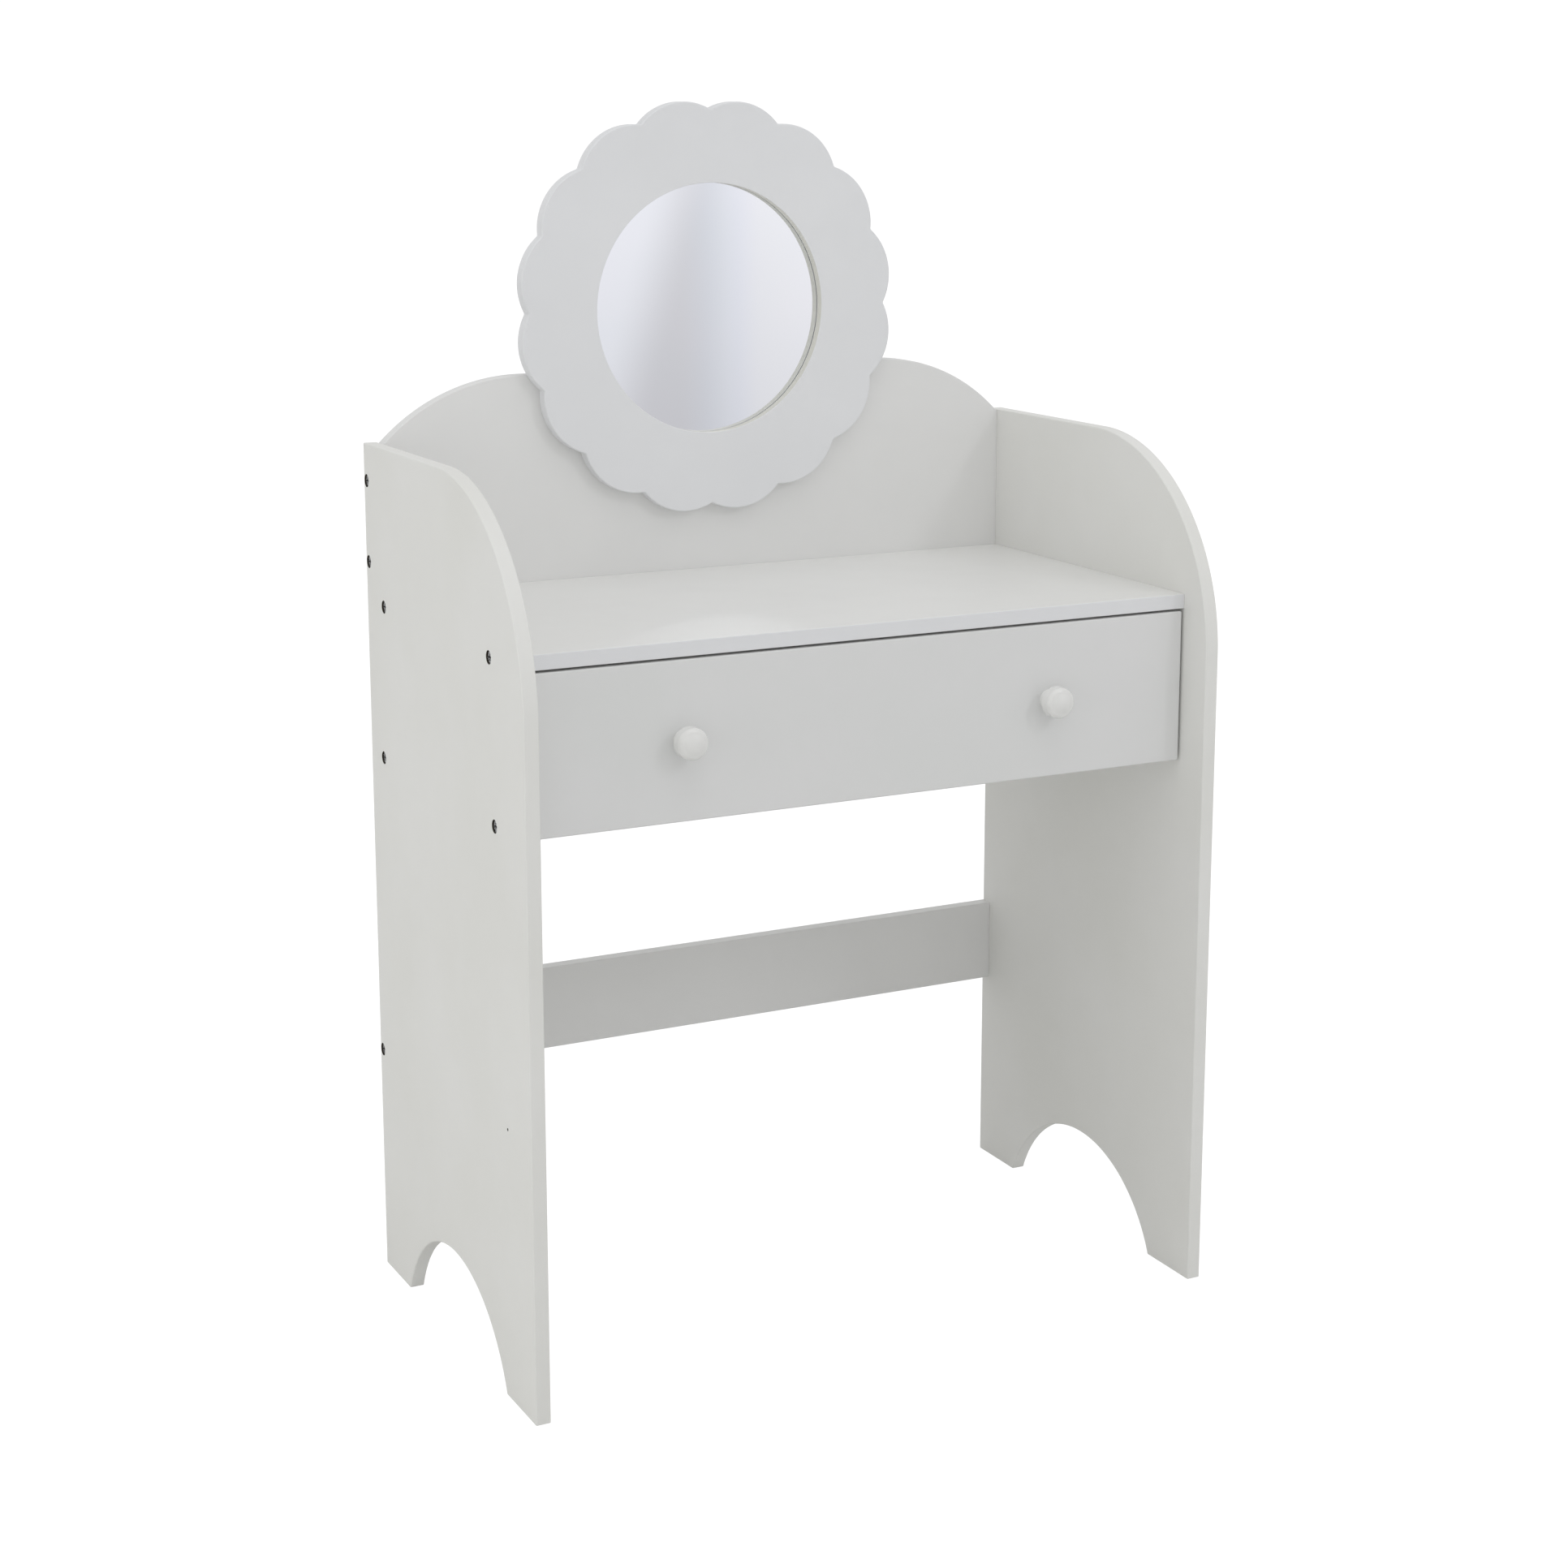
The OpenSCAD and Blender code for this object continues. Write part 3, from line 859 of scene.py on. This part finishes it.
lobe_centre = frame_front + LOBE_RING * Vector((math.cos(half_lobe), 0, math.sin(half_lobe)))
select_only()
bpy.ops.mesh.primitive_circle_add(
    vertices=LOBE_CIRCLE_SIDES,
    radius=LOBE_RADIUS,
    location=lobe_centre,
    rotation=(math.radians(90), -half_lobe, 0),
)
scallops = settle("scalloped_frame")
bpy.ops.object.mode_set(mode="EDIT")
for notch_angle, outer_side in ((0, -1), (2 * half_lobe, 1)):
    bpy.ops.mesh.select_all(action="SELECT")
    across_notch = Vector((-math.sin(notch_angle), 0, math.cos(notch_angle))) * outer_side
    bpy.ops.mesh.bisect(plane_co=frame_front, plane_no=across_notch, clear_outer=True)
bpy.ops.object.mode_set(mode="OBJECT")
cage = bmesh.new()
cage.from_mesh(scallops.data)
inner_points = [v for v in cage.verts if (v.co - frame_front).length < LOBE_RING]
bmesh.ops.delete(cage, geom=inner_points, context="VERTS")
cage.to_mesh(scallops.data)
cage.free()
print("points in one lobe:", len(scallops.data.vertices))

# %% [markdown]
# A router can't cut a perfectly sharp notch, so the points between the lobes are rounded while the outline
# is still a wire. The wire is filled, and the flat face is extruded backwards into a 12 mm board.

# %% From outline to board
def rim_distance(point):
    """How far a point of the frame is from the mirror's axis."""
    return math.hypot(point.x, point.z - frame_front.z)


NOTCH_ROUND = 1.2 * MM
SEAM_GAP = 0.05 * MM     # two arcs' end points lie closer together than this
select_only(scallops)
bpy.ops.object.mode_set(mode="EDIT")
bpy.ops.mesh.select_all(action="SELECT")
bpy.ops.mesh.spin(steps=LOBES, dupli=True, angle=2 * math.pi, center=frame_front, axis=(0, 1, 0))
bpy.ops.mesh.select_all(action="SELECT")
bpy.ops.mesh.remove_doubles(threshold=SEAM_GAP)
bpy.ops.mesh.select_mode(type="VERT")
bpy.ops.mesh.select_all(action="DESELECT")
wire = bmesh.from_edit_mesh(scallops.data)
notch_distance = min(rim_distance(v.co) for v in wire.verts)
notches = [v for v in wire.verts if level(notch_distance, rim_distance(v.co))]
for notch in notches:
    notch.select_set(True)
bmesh.update_edit_mesh(scallops.data)
bpy.ops.mesh.bevel(offset=NOTCH_ROUND, segments=3, affect="VERTICES")
bpy.ops.mesh.select_all(action="SELECT")
bpy.ops.mesh.edge_face_add()
frame_depth = frame_high.y - frame_low.y
bpy.ops.mesh.extrude_region_move(TRANSFORM_OT_translate={"value": (0, frame_depth, 0)})
face_outwards()
print("notches:", len(notches), "points:", len(scallops.data.vertices))

# %% [markdown]
# The rims are routed while both faces are still whole. Then the opening is sawn out, its front rim is eased,
# and a wider, shallower cut from behind makes the rebate that holds the glass. The opening's wall gets the
# slightly darker, warmer cream lacquer.

# %% The rims, the opening and the rebate
REBATE_RADIUS = 112 * MM
OPENING_ROUND = 0.5 * MM


def cut_disc(radius, from_y, to_y):
    """Saws a round hole in the frame between two depths."""
    middle = (frame_front.x, (from_y + to_y) / 2, frame_front.z)
    carve(scallops, add_cylinder("disc", middle, radius, to_y - from_y, ALONG_Y, sides=256))


for rim_y in (frame_low.y, frame_high.y):
    round_edges(scallops, lambda a, b: level(rim_y, a.y, b.y), ROUTED)
cut_disc(OPENING_RADIUS, frame_low.y - OVERSHOOT, frame_high.y + OVERSHOOT)
round_edges(
    scallops,
    lambda a, b: level(frame_low.y, a.y, b.y) and level(OPENING_RADIUS, rim_distance(a), rim_distance(b)),
    OPENING_ROUND,
    steps=4,
)
cut_disc(REBATE_RADIUS, mirror_low.y, frame_high.y + OVERSHOOT)
carve(scallops, frame_screw_holes)
finish_piece(scallops, "table", "painted_mdf", front_lacquer, "mirror_frame")


def on_sawn_rim(middle, outwards):
    """A face of the opening's wall or of the steep part of its rounded rim."""
    near_wall = abs(rim_distance(middle) - OPENING_RADIUS) < OPENING_ROUND
    return near_wall and abs(outwards.y) < 0.5


# The opening's wall gets a slightly darker, warmer cream.
second_finish(scallops, darker_rim_lacquer, on_sawn_rim)

# %% [markdown]
# ## The mirror and its backing
#
# A mirror is clear glass with silver behind it, so the picture in it lies a glass thickness behind the lip
# that holds it. That gap is what shows as a dark ring. Clear glass in front would only add render noise, so
# the silvered rear of the glass is modelled, set back behind the lip, with a ground edge.

# %% Mirror disc and hardboard disc
SILVER_SET_BACK = 0.7 * MM
GROUND_EDGE = 0.25 * MM


def round_sheet(name, node, front_y, ground):
    """A thin disc with a small chamfer all round."""
    low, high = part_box(node)
    radius = (high.x - low.x) / 2
    middle = (low + high) / 2
    depth = high.y - front_y
    rings = [(radius - ground, 0), (radius, ground), (radius, depth - ground), (radius - ground, depth)]
    return turn(name, rings, (middle.x, front_y, middle.z), (0, 1, 0), sides=160)


silver = round_sheet("silvered_mirror", "mirror_glass", mirror_low.y + SILVER_SET_BACK, GROUND_EDGE)
finish_piece(silver, "table", "mirror_glass", mirror_silver, "mirror_glass")
backing_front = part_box("mirror_backing")[0].y
backing = round_sheet("hardboard_backing", "mirror_backing", backing_front, EASED)
finish_piece(backing, "table", "hardboard", bare_hardboard, "mirror_backing")

# %% [markdown]
# ## Cross-head screws
#
# A screw is driven by the cross in its head, which is cut with two bars laid across each other. Each bar is a
# board whose inner end is made smaller in edit mode, because a real driver's recess narrows downwards.

# %% Cutting a driver's cross
UP = Vector((0, 0, 1))
RECESS_TAPER = 0.45      # the size of a bar's inner end, as a share of its outer end


def recess_bar(face, along, across, length, width, depth):
    """One arm of the driver's cross: a bar that narrows as it goes into the head."""
    other = along.cross(across)
    half = across * length / 2 + other * width / 2
    spread = Vector((abs(half.x), abs(half.y), abs(half.z)))
    deepest = face + along * depth
    ends = [face - along * 0.5 * MM - spread, deepest + spread]
    low, high = [Vector(map(pick, *ends)) for pick in (min, max)]
    bar = add_board("recess_bar", low, high)
    pick_edges(bar, lambda a, b: level(deepest.dot(along), a.dot(along), b.dot(along)))
    bpy.ops.transform.resize(value=[RECESS_TAPER] * 3, center_override=deepest)
    bpy.ops.object.mode_set(mode="OBJECT")
    return bar


def cut_cross(piece, face, along, length, width, depth):
    """Cuts both arms of the driver's cross into a head."""
    for across in (UP, along.cross(UP)):
        carve(piece, recess_bar(face, along, across, length, width, depth))


# %% [markdown]
# A countersunk screw is turned like any round part: a flat head, a cone, a straight shank and a point. It is
# modelled once for a set. The faces inside the cross get the near-black metal, painted shade for the deep
# recess.

# %% The screws of the side panels
def cross_screw(name, face, along, length, shank_radius, head_radius):
    """A countersunk screw whose head's face is at the given point."""
    cone = head_radius - shank_radius
    edge = 0.15 * MM
    tip = 2 * shank_radius
    rings = [
        (head_radius - edge, 0),
        (head_radius, edge),
        (head_radius, HEAD_RIM),
        (shank_radius, HEAD_RIM + cone),
        (shank_radius, length - tip),
        (0.5 * MM, length),
    ]
    screw = turn(name, rings, face, along)
    cut_cross(screw, face, along, 1.15 * head_radius, 0.26 * head_radius, 0.4 * head_radius)
    return screw


SIDE_SHANK = 2.5 * MM
SIDE_HEAD = 5 * MM
RECESS_DEPTH = 2.2 * MM      # the cross lies within this depth below the head's face
RECESS_REACH = 3.2 * MM      # and within this distance from the screw's axis

side_screw = cross_screw("left_panel_screws", head_face, INWARDS, screw_length, SIDE_SHANK, SIDE_HEAD)
left_screws = repeat_at(side_screw, moves_between(side_screw_places))
right_screws = mirror_copy(left_screws, "right_panel_screws")
finish_piece(left_screws, "table", "zinc_screw", zinc_and_painted_glints, "side_screws_left")
finish_piece(right_screws, "table", "zinc_screw", zinc_and_painted_glints, "side_screws_right")


def in_a_recess(middle, outwards):
    """A face inside the driver's cross, below the head's flat face."""
    below_face = abs(head_face.x) - abs(middle.x)
    return 0.1 * MM < below_face < RECESS_DEPTH and off_axis(middle, side_screw_places) < RECESS_REACH


# Painted shade: the faces inside the cross get the near-black metal.
for screws in (left_screws, right_screws):
    second_finish(screws, recess_painted_shade, in_a_recess)

# %% The screws behind the mirror
def small_screws(name, places, along):
    """One small flush screw at the first place, repeated at the others."""
    face, reach = face_of(places[0], along)
    first = cross_screw(name, face, along, reach, SMALL_SHANK, radius_of(places[0]))
    return repeat_at(first, moves_between(places))


frame_screws = small_screws("mirror_frame_screws", frame_screw_places, FORWARDS)
finish_piece(frame_screws, "table", "zinc_screw", zinc_and_painted_glints, "mirror_screws")

# %% [markdown]
# ## The drawer
#
# The drawer front is a painted board with slightly rounded corners and every front edge routed. Behind it
# sits a plain box of melamine board. The box's thin bottom slides into a groove all round, so grooves are cut
# in the front and the sides. Two cam locks near the front corners pull the box against the front.

# %% The drawer's jigs
box_screw_places = [place for place in solids_of("drawer_back_screws") if place[0].x < 0]
KNOB_SCREW_HOLE = 2.25 * MM

bolt_jig = rod_cutter("bolt_jig", "drawer_cam_bolts", BACKWARDS)
box_dowel_jig = rod_cutter("box_dowel_jig", "drawer_dowels", BACKWARDS)
cam_jig = rod_cutter("cam_jig", "drawer_cam_locks", INWARDS)
knob_jig = rod_cutter("knob_jig", "knob_screws", BACKWARDS, KNOB_SCREW_HOLE)
left_box_jig = screw_cutter("left_box_jig", box_screw_places, INWARDS, SMALL_SHANK)
right_box_jig = mirror_copy(left_box_jig, "right_box_jig")
drawer_jigs = (bolt_jig, box_dowel_jig, cam_jig, knob_jig, left_box_jig, right_box_jig)
print("jigs for the drawer:", [jig.name for jig in drawer_jigs])

# %% The drawer front
face_low, face_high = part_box("drawer_front")
sheet_low, sheet_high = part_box("drawer_bottom")
FACE_CORNER = 1.5 * MM
GROOVE_PLAY = Vector((0.5, 0.5, 0.1)) * MM     # room round the bottom sheet in its groove

drawer_face = add_board("drawer_face", face_low, face_high)
round_edges(drawer_face, lambda a, b: level(a.x, b.x) and level(a.z, b.z), FACE_CORNER)
round_edges(drawer_face, lambda a, b: level(face_low.y, a.y, b.y), ROUTED)
round_edges(drawer_face, lambda a, b: level(face_high.y, a.y, b.y), 2 * EASED, steps=3)


def cut_groove(piece):
    """Cuts the groove that the drawer's bottom sheet slides into."""
    carve(piece, add_board("groove", sheet_low - GROOVE_PLAY, sheet_high + GROOVE_PLAY))


cut_groove(drawer_face)
drill(drawer_face, bolt_jig, box_dowel_jig, knob_jig)
finish_piece(drawer_face, "drawer", "painted_mdf", drawer_lacquer, "drawer_front")

# %% The drawer box
def eased_board(name, low, high):
    """A board with all its edges eased."""
    piece = add_board(name, low, high)
    round_edges(piece, lambda a, b: True, EASED, steps=2)
    return piece


def box_board(name, node, *jigs):
    """A melamine board of the drawer box, grooved and drilled for its fittings."""
    piece = eased_board(name, *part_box(node))
    cut_groove(piece)
    drill(piece, *jigs)
    finish_piece(piece, "drawer", "box_board", box_melamine, node)


box_board("box_side_left", "drawer_side_left", cam_jig, bolt_jig, box_dowel_jig, left_box_jig)
box_board("box_side_right", "drawer_side_right", cam_jig, bolt_jig, box_dowel_jig, right_box_jig)
box_board("box_back", "drawer_back", left_box_jig, right_box_jig)
box_sheet = eased_board("box_bottom_sheet", sheet_low, sheet_high)
finish_piece(box_sheet, "drawer", "white_hardboard", sheet_melamine, "drawer_bottom")

# %% [markdown]
# ## Knobs
#
# A knob is a stem, a slight neck that flares out, and a thick round head whose face is almost flat. The rim
# between side and face is a quarter turn of 4 mm radius, and the face rises by 2 mm to its middle. Each of
# these curves becomes a few rings that the circle is extruded through.

# %% One knob, turned and copied
knob_low, knob_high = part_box("knob_left")
knob_foot = Vector(((knob_low.x + knob_high.x) / 2, face_low.y, (knob_low.z + knob_high.z) / 2))
head_radius = (knob_high.x - knob_low.x) / 2
knob_reach = face_low.y - knob_low.y
STEM_RADIUS = 8 * MM
NECK_RADIUS = 7.2 * MM
NECK_REACH = 4.5 * MM        # how far the neck stands out before it flares
FLARE_REACH = 5 * MM         # how much further the flare takes to reach the head's full width
RIM_ROUND = 4 * MM
CROWN_RISE = 2 * MM
FLARE_PARTS, RIM_PARTS, CROWN_PARTS = 6, 8, 8
rim_start = knob_reach - RIM_ROUND - CROWN_RISE
face_radius = head_radius - RIM_ROUND

knob_rings = [(STEM_RADIUS + 0.3 * MM, 0), (STEM_RADIUS, 0.4 * MM), (STEM_RADIUS - 0.6 * MM, 2 * MM)]
for step in range(FLARE_PARTS + 1):
    angle = math.radians(90 * step / FLARE_PARTS)
    flare = (head_radius - NECK_RADIUS) * (1 - math.cos(angle))
    knob_rings.append((NECK_RADIUS + flare, NECK_REACH + FLARE_REACH * math.sin(angle)))
for step in range(RIM_PARTS + 1):
    angle = math.radians(90 * step / RIM_PARTS)
    rounding = RIM_ROUND * math.sin(angle)
    knob_rings.append((face_radius + RIM_ROUND * math.cos(angle), rim_start + rounding))
for step in range(1, CROWN_PARTS):
    share = 1 - step / CROWN_PARTS
    knob_rings.append((face_radius * share, rim_start + RIM_ROUND + CROWN_RISE * (1 - share**2)))
knob_rings.append((0, knob_reach))

left_knob = turn("turned_knob_left", knob_rings, knob_foot, FORWARDS, sides=72)
drill(left_knob, knob_jig)
right_knob = mirror_copy(left_knob, "turned_knob_right")
finish_piece(left_knob, "drawer", "knob_plastic", glossy_plastic, "knob_left")
finish_piece(right_knob, "drawer", "knob_plastic", glossy_plastic, "knob_right")

# %% [markdown]
# ## Fittings inside the drawer
#
# Behind each knob a pan-head screw comes through the drawer front. Its head is a low dome over a short
# straight side. The cam locks are short zinc drums with a driver cross and a chamfered rim, set into the box
# sides. The back of the box is held by small countersunk screws.

# %% Pan-head screws
pan_places = solids_of("knob_screws")
pan_low, pan_high = pan_places[0]
pan_middle = (pan_low + pan_high) / 2
pan_radius = (pan_high.x - pan_low.x) / 2
pan_height = pan_high.y - face_high.y
pan_face = Vector((pan_middle.x, pan_high.y, pan_middle.z))
DOME_SHARE = 0.6         # how much of the head's height the dome takes
DOME_START = 18          # in degrees: the dome's flat top ends here
dome = pan_height * DOME_SHARE
dome_top = dome * (1 - math.cos(math.radians(DOME_START)))
pan_rings = []
for step in range(5):
    angle = math.radians(DOME_START + (90 - DOME_START) * step / 4)
    pan_rings.append((pan_radius * math.sin(angle), dome * (1 - math.cos(angle)) - dome_top))
pan_length = pan_high.y - pan_low.y
pan_rings += [(pan_radius, pan_height), (SMALL_SHANK, pan_height), (SMALL_SHANK, pan_length)]
pan_screw = turn("knob_pan_screws", pan_rings, pan_face, FORWARDS)
cut_cross(pan_screw, pan_face, FORWARDS, 1.1 * pan_radius, 0.25 * pan_radius, 1.2 * MM)
pan_screws = repeat_at(pan_screw, moves_between(pan_places))
finish_piece(pan_screws, "drawer", "zinc_screw", zinc_and_painted_glints, "knob_screws")

# %% Cam locks
cam_places = solids_of("drawer_cam_locks")
cam_low, cam_high = cam_places[0]
cam_middle = (cam_low + cam_high) / 2
cam_radius = (cam_high.y - cam_low.y) / 2
cam_face = Vector((cam_high.x, cam_middle.y, cam_middle.z))
cam_length = cam_high.x - cam_low.x
cam_wall = cam_radius - 0.1 * MM
LEFTWARDS = Vector((-1, 0, 0))
cam_rings = [
    (cam_radius * 0.55, 0.5 * MM),
    (cam_radius * 0.62, 0.1 * MM),
    (cam_radius - 0.4 * MM, 0.1 * MM),
    (cam_wall, 0.4 * MM),
    (cam_wall, cam_length - 0.3 * MM),
    (cam_radius - 0.5 * MM, cam_length),
]
cam = turn("cam_locks", cam_rings, cam_face, LEFTWARDS)
cut_cross(cam, cam_face, LEFTWARDS, 0.95 * cam_radius, 0.24 * cam_radius, 1.8 * MM)
drill(cam, bolt_jig)
join_pair(cam, mirror_copy(cam, "cam_lock_right"))
finish_piece(cam, "drawer", "zinc_cam", cast_zinc, "drawer_cam_locks")

# %% Screws of the box's back
box_screws = small_screws("box_back_screws", box_screw_places, INWARDS)
join_pair(box_screws, mirror_copy(box_screws, "box_screws_right"))
finish_piece(box_screws, "drawer", "zinc_screw", zinc_and_painted_glints, "drawer_back_screws")

# %% [markdown]
# ## The hidden parts keep their CAD shape
#
# Dowels and cam bolts are plain rods inside the boards, so the CAD shape is right and they only need
# a material. With every board drilled, the jigs are put away.

# %% Materials on the carried-over parts
for node, finish in (
    ("dowels_left", beech),
    ("dowels_right", beech),
    ("drawer_dowels", beech),
    ("drawer_cam_bolts", zinc_and_painted_glints),
):
    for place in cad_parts[node].material_slots:
        place.material = finish
for jig in side_jigs + drawer_jigs:
    bpy.data.objects.remove(jig)
print("dowels and bolts have their materials")

# %% [markdown]
# ## The floor
#
# Furniture like this is shown on a white sweep, a roll of paper that is lit until it is whiter than white. A
# plain plane does the same when it glows a little, but only for the camera. To the table it is ordinary matt
# paper, which throws soft light up at the undersides.

# %% A pale sweep
FLOOR_SIDE = 30.0
GLOW_SHARE = 0.9         # how much of what the camera sees of the paper is glow
GLOW_STRENGTH = 1.15

select_only()
bpy.ops.mesh.primitive_plane_add(size=FLOOR_SIDE, location=(0, 0, 0))
floor = settle("pale_floor")
sweep, sweep_tree, sweep_place = start_material("white_paper_sweep")
paper = add_node(sweep_tree, "ShaderNodeTexNoise", {"Vector": sweep_place, "Scale": every(400)})
paper_tone = two_tones(sweep_tree, paper.outputs["Fac"], "#E8E8E7", "#E6E6E5")
matt = add_node(sweep_tree, "ShaderNodeBsdfDiffuse", {"Color": paper_tone, "Roughness": 0.9})
glow_sockets = {"Color": paint_code("#FFFFFF"), "Strength": GLOW_STRENGTH}
glow = add_node(sweep_tree, "ShaderNodeEmission", glow_sockets)
seen = add_node(sweep_tree, "ShaderNodeLightPath").outputs["Is Camera Ray"]
glow_part = add_node(sweep_tree, "ShaderNodeMath", {0: seen, 1: GLOW_SHARE}, operation="MULTIPLY")
both = add_node(
    sweep_tree,
    "ShaderNodeMixShader",
    {"Fac": glow_part.outputs["Value"], 1: matt.outputs["BSDF"], 2: glow.outputs["Emission"]},
)
add_node(sweep_tree, "ShaderNodeOutputMaterial", {"Surface": both.outputs["Shader"]})
floor.data.materials.append(sweep)
print("floor side in metres:", FLOOR_SIDE)

# %% [markdown]
# ## What the mirror sees
#
# A mirror has no look of its own. It shows what stands in front of the table, to the right: a pale studio
# cloth with one soft fold. The cloth hangs on a card that only reflections can see, so it changes nothing
# else. All its tones are drawn in the card's own metres. To the right of the fold's darkest line they rise
# through a colour ramp. To the left a smooth step does it, along a line that leans. The cloth also grows
# a little brighter upwards.

# %% The card that carries the cloth
CARD_Y = -3.0
CARD_LEFT, CARD_RIGHT = 1.0, 2.0
CARD_LOW, CARD_HIGH = 0.05, 1.15

select_only()
card_middle = ((CARD_LEFT + CARD_RIGHT) / 2, CARD_Y, (CARD_LOW + CARD_HIGH) / 2)
bpy.ops.mesh.primitive_plane_add(
    size=1, location=card_middle, rotation=ALONG_Y, scale=(CARD_RIGHT - CARD_LEFT, CARD_HIGH - CARD_LOW, 1)
)
card = settle("reflected_cloth")
card.visible_camera = False
card.visible_diffuse = False
card.visible_shadow = False
print("card size in metres:", [round(d, 2) for d in card.dimensions])

# %% The cloth and its fold
# The card glows: its tones are painted light and shade, with painted shade along the fold and a painted
# brightening towards the top.
FOLD_X, FLAT_X = 1.435, 1.733            # the fold's darkest line, and where the cloth hangs flat again
FLANK_LIGHT, FLANK_DARK = 1.118, 1.266   # where the left flank starts to darken, and where it is darkest
FOLD_LEAN = 0.30                         # metres that the flank leans to the left for each metre it falls
DIM_HEIGHT, BRIGHT_HEIGHT = 0.307, 0.803
DIM_GLOW, BRIGHT_GLOW = 0.91, 1.09

cloth, cloth_tree, cloth_place = start_material("pale_studio_cloth")
cloth_axes = add_node(cloth_tree, "ShaderNodeSeparateXYZ", {"Vector": cloth_place})
across_fold = add_node(
    cloth_tree,
    "ShaderNodeMapRange",
    {"Value": cloth_axes.outputs["X"], "From Min": FOLD_X, "From Max": FLAT_X},
)
right_of_fold = add_node(cloth_tree, "ShaderNodeValToRGB", {"Fac": across_fold.outputs["Result"]})
tones = right_of_fold.color_ramp
tones.interpolation = "CARDINAL"
tones.elements[0].color = paint_code("#D4D3D7")
tones.elements[1].color = paint_code("#F0EFF3")
for position, code in ((0.20, "#D8D9DF"), (0.33, "#E0E1E7"), (0.47, "#E7E7EE"), (0.60, "#EDECF0")):
    tones.elements.new(position).color = paint_code(code)
leaning = add_node(
    cloth_tree,
    "ShaderNodeMath",
    {0: cloth_axes.outputs["Z"], 1: -FOLD_LEAN, 2: cloth_axes.outputs["X"]},
    operation="MULTIPLY_ADD",
)
left_of_fold = add_node(
    cloth_tree,
    "ShaderNodeMapRange",
    {
        "Value": leaning.outputs["Value"],
        "From Min": FLANK_LIGHT,
        "From Max": FLANK_DARK,
        "To Min": 1.0,
        "To Max": 0.0,
    },
    interpolation_type="SMOOTHSTEP",
)
RAMP_TONE, FLANK_TONE, MIXED_TONE = 6, 7, 2     # the colour sockets of a Mix node, by number
cloth_tone = add_node(
    cloth_tree,
    "ShaderNodeMix",
    {
        "Factor": left_of_fold.outputs["Result"],
        RAMP_TONE: right_of_fold.outputs["Color"],
        FLANK_TONE: paint_code("#ECECF1"),
    },
    data_type="RGBA",
)
# Painted light: the glow grows with height.
rising = add_node(
    cloth_tree,
    "ShaderNodeMapRange",
    {
        "Value": cloth_axes.outputs["Z"],
        "From Min": DIM_HEIGHT,
        "From Max": BRIGHT_HEIGHT,
        "To Min": DIM_GLOW,
        "To Max": BRIGHT_GLOW,
    },
)
cloth_glow = add_node(
    cloth_tree,
    "ShaderNodeEmission",
    {"Color": cloth_tone.outputs[MIXED_TONE], "Strength": rising.outputs["Result"]},
)
add_node(cloth_tree, "ShaderNodeOutputMaterial", {"Surface": cloth_glow.outputs["Emission"]})
card.data.materials.append(cloth)
print("cloth tones:", len(tones.elements) + 1)

# %% [markdown]
# ## Light
#
# The studio is white all round, so most of the light is soft and comes from the world. The camera sees the
# backdrop a little whiter than white. Three lamps shape the light. A low one on the left brightens the
# panel's outer face, and a broad one overhead gives the worktop its sheen. A smaller one, high in front on
# the right, makes the knobs throw a soft shadow down to the left. The Standard view transform keeps white
# paint white.

# %% The white studio
AMBIENT = 0.72
BACKDROP = 1.05

bpy.context.scene.view_settings.view_transform = "Standard"
studio = bpy.data.worlds.new("white_studio")
bpy.context.scene.world = studio
studio.use_nodes = True
air = studio.node_tree
air.nodes.clear()
white = paint_code("#FFFFFF")
walls = add_node(air, "ShaderNodeBackground", {"Color": white, "Strength": AMBIENT})
backdrop = add_node(air, "ShaderNodeBackground", {"Color": white, "Strength": BACKDROP})
to_camera = add_node(air, "ShaderNodeLightPath").outputs["Is Camera Ray"]
either = add_node(
    air,
    "ShaderNodeMixShader",
    {"Fac": to_camera, 1: walls.outputs["Background"], 2: backdrop.outputs["Background"]},
)
add_node(air, "ShaderNodeOutputWorld", {"Surface": either.outputs["Shader"]})
print("ambient light:", AMBIENT)

# %% Three soft lamps
def hang_lamp(name, place, size, power, tint, aim=(0, 0, 0.5)):
    """A square area lamp that points at the table. Places and sizes are in metres, power in watts."""
    lamp = bpy.data.lights.new(name, "AREA")
    lamp.size = size
    lamp.energy = power
    lamp.color = paint_code(tint)[:3]
    holder = bpy.data.objects.new(name, lamp)
    bpy.context.scene.collection.objects.link(holder)
    holder.location = place
    holder.rotation_euler = (Vector(place) - Vector(aim)).to_track_quat("Z", "Y").to_euler()
    print(name, "of", power, "W")


hang_lamp("left_softbox", (-2.4, -0.4, 0.5), 1.1, 5.5, "#FFFFFC", aim=(0, 0, 0.2))
hang_lamp("right_softbox", (1.6, -2.9, 2.6), 0.45, 8, "#FAFBFF")
hang_lamp("overhead_softbox", (-0.2, -0.9, 3.0), 1.8, 7, "#FFFFFF")

# %% [markdown]
# ## The camera
#
# The table is seen from its front left through a 64 mm lens, from the height of the mirror's top. The camera
# is tilted down by 11 degrees. A small lens shift moves the view down the rest of the way, which keeps the
# uprights closer to parallel than more tilt would. Nothing is out of focus.

# %% Camera
eye = bpy.data.cameras.new("studio_camera")
eye.lens = 64.02
eye.sensor_width = 36
eye.shift_y = -0.08
viewer = bpy.data.objects.new("studio_camera", eye)
bpy.context.scene.collection.objects.link(viewer)
viewer.location = (-1.010, -1.977, 0.968)
viewer.rotation_euler = (math.radians(78.79), 0, math.radians(-26.92))
bpy.context.scene.camera = viewer
print("camera at", tuple(round(c, 3) for c in viewer.location))
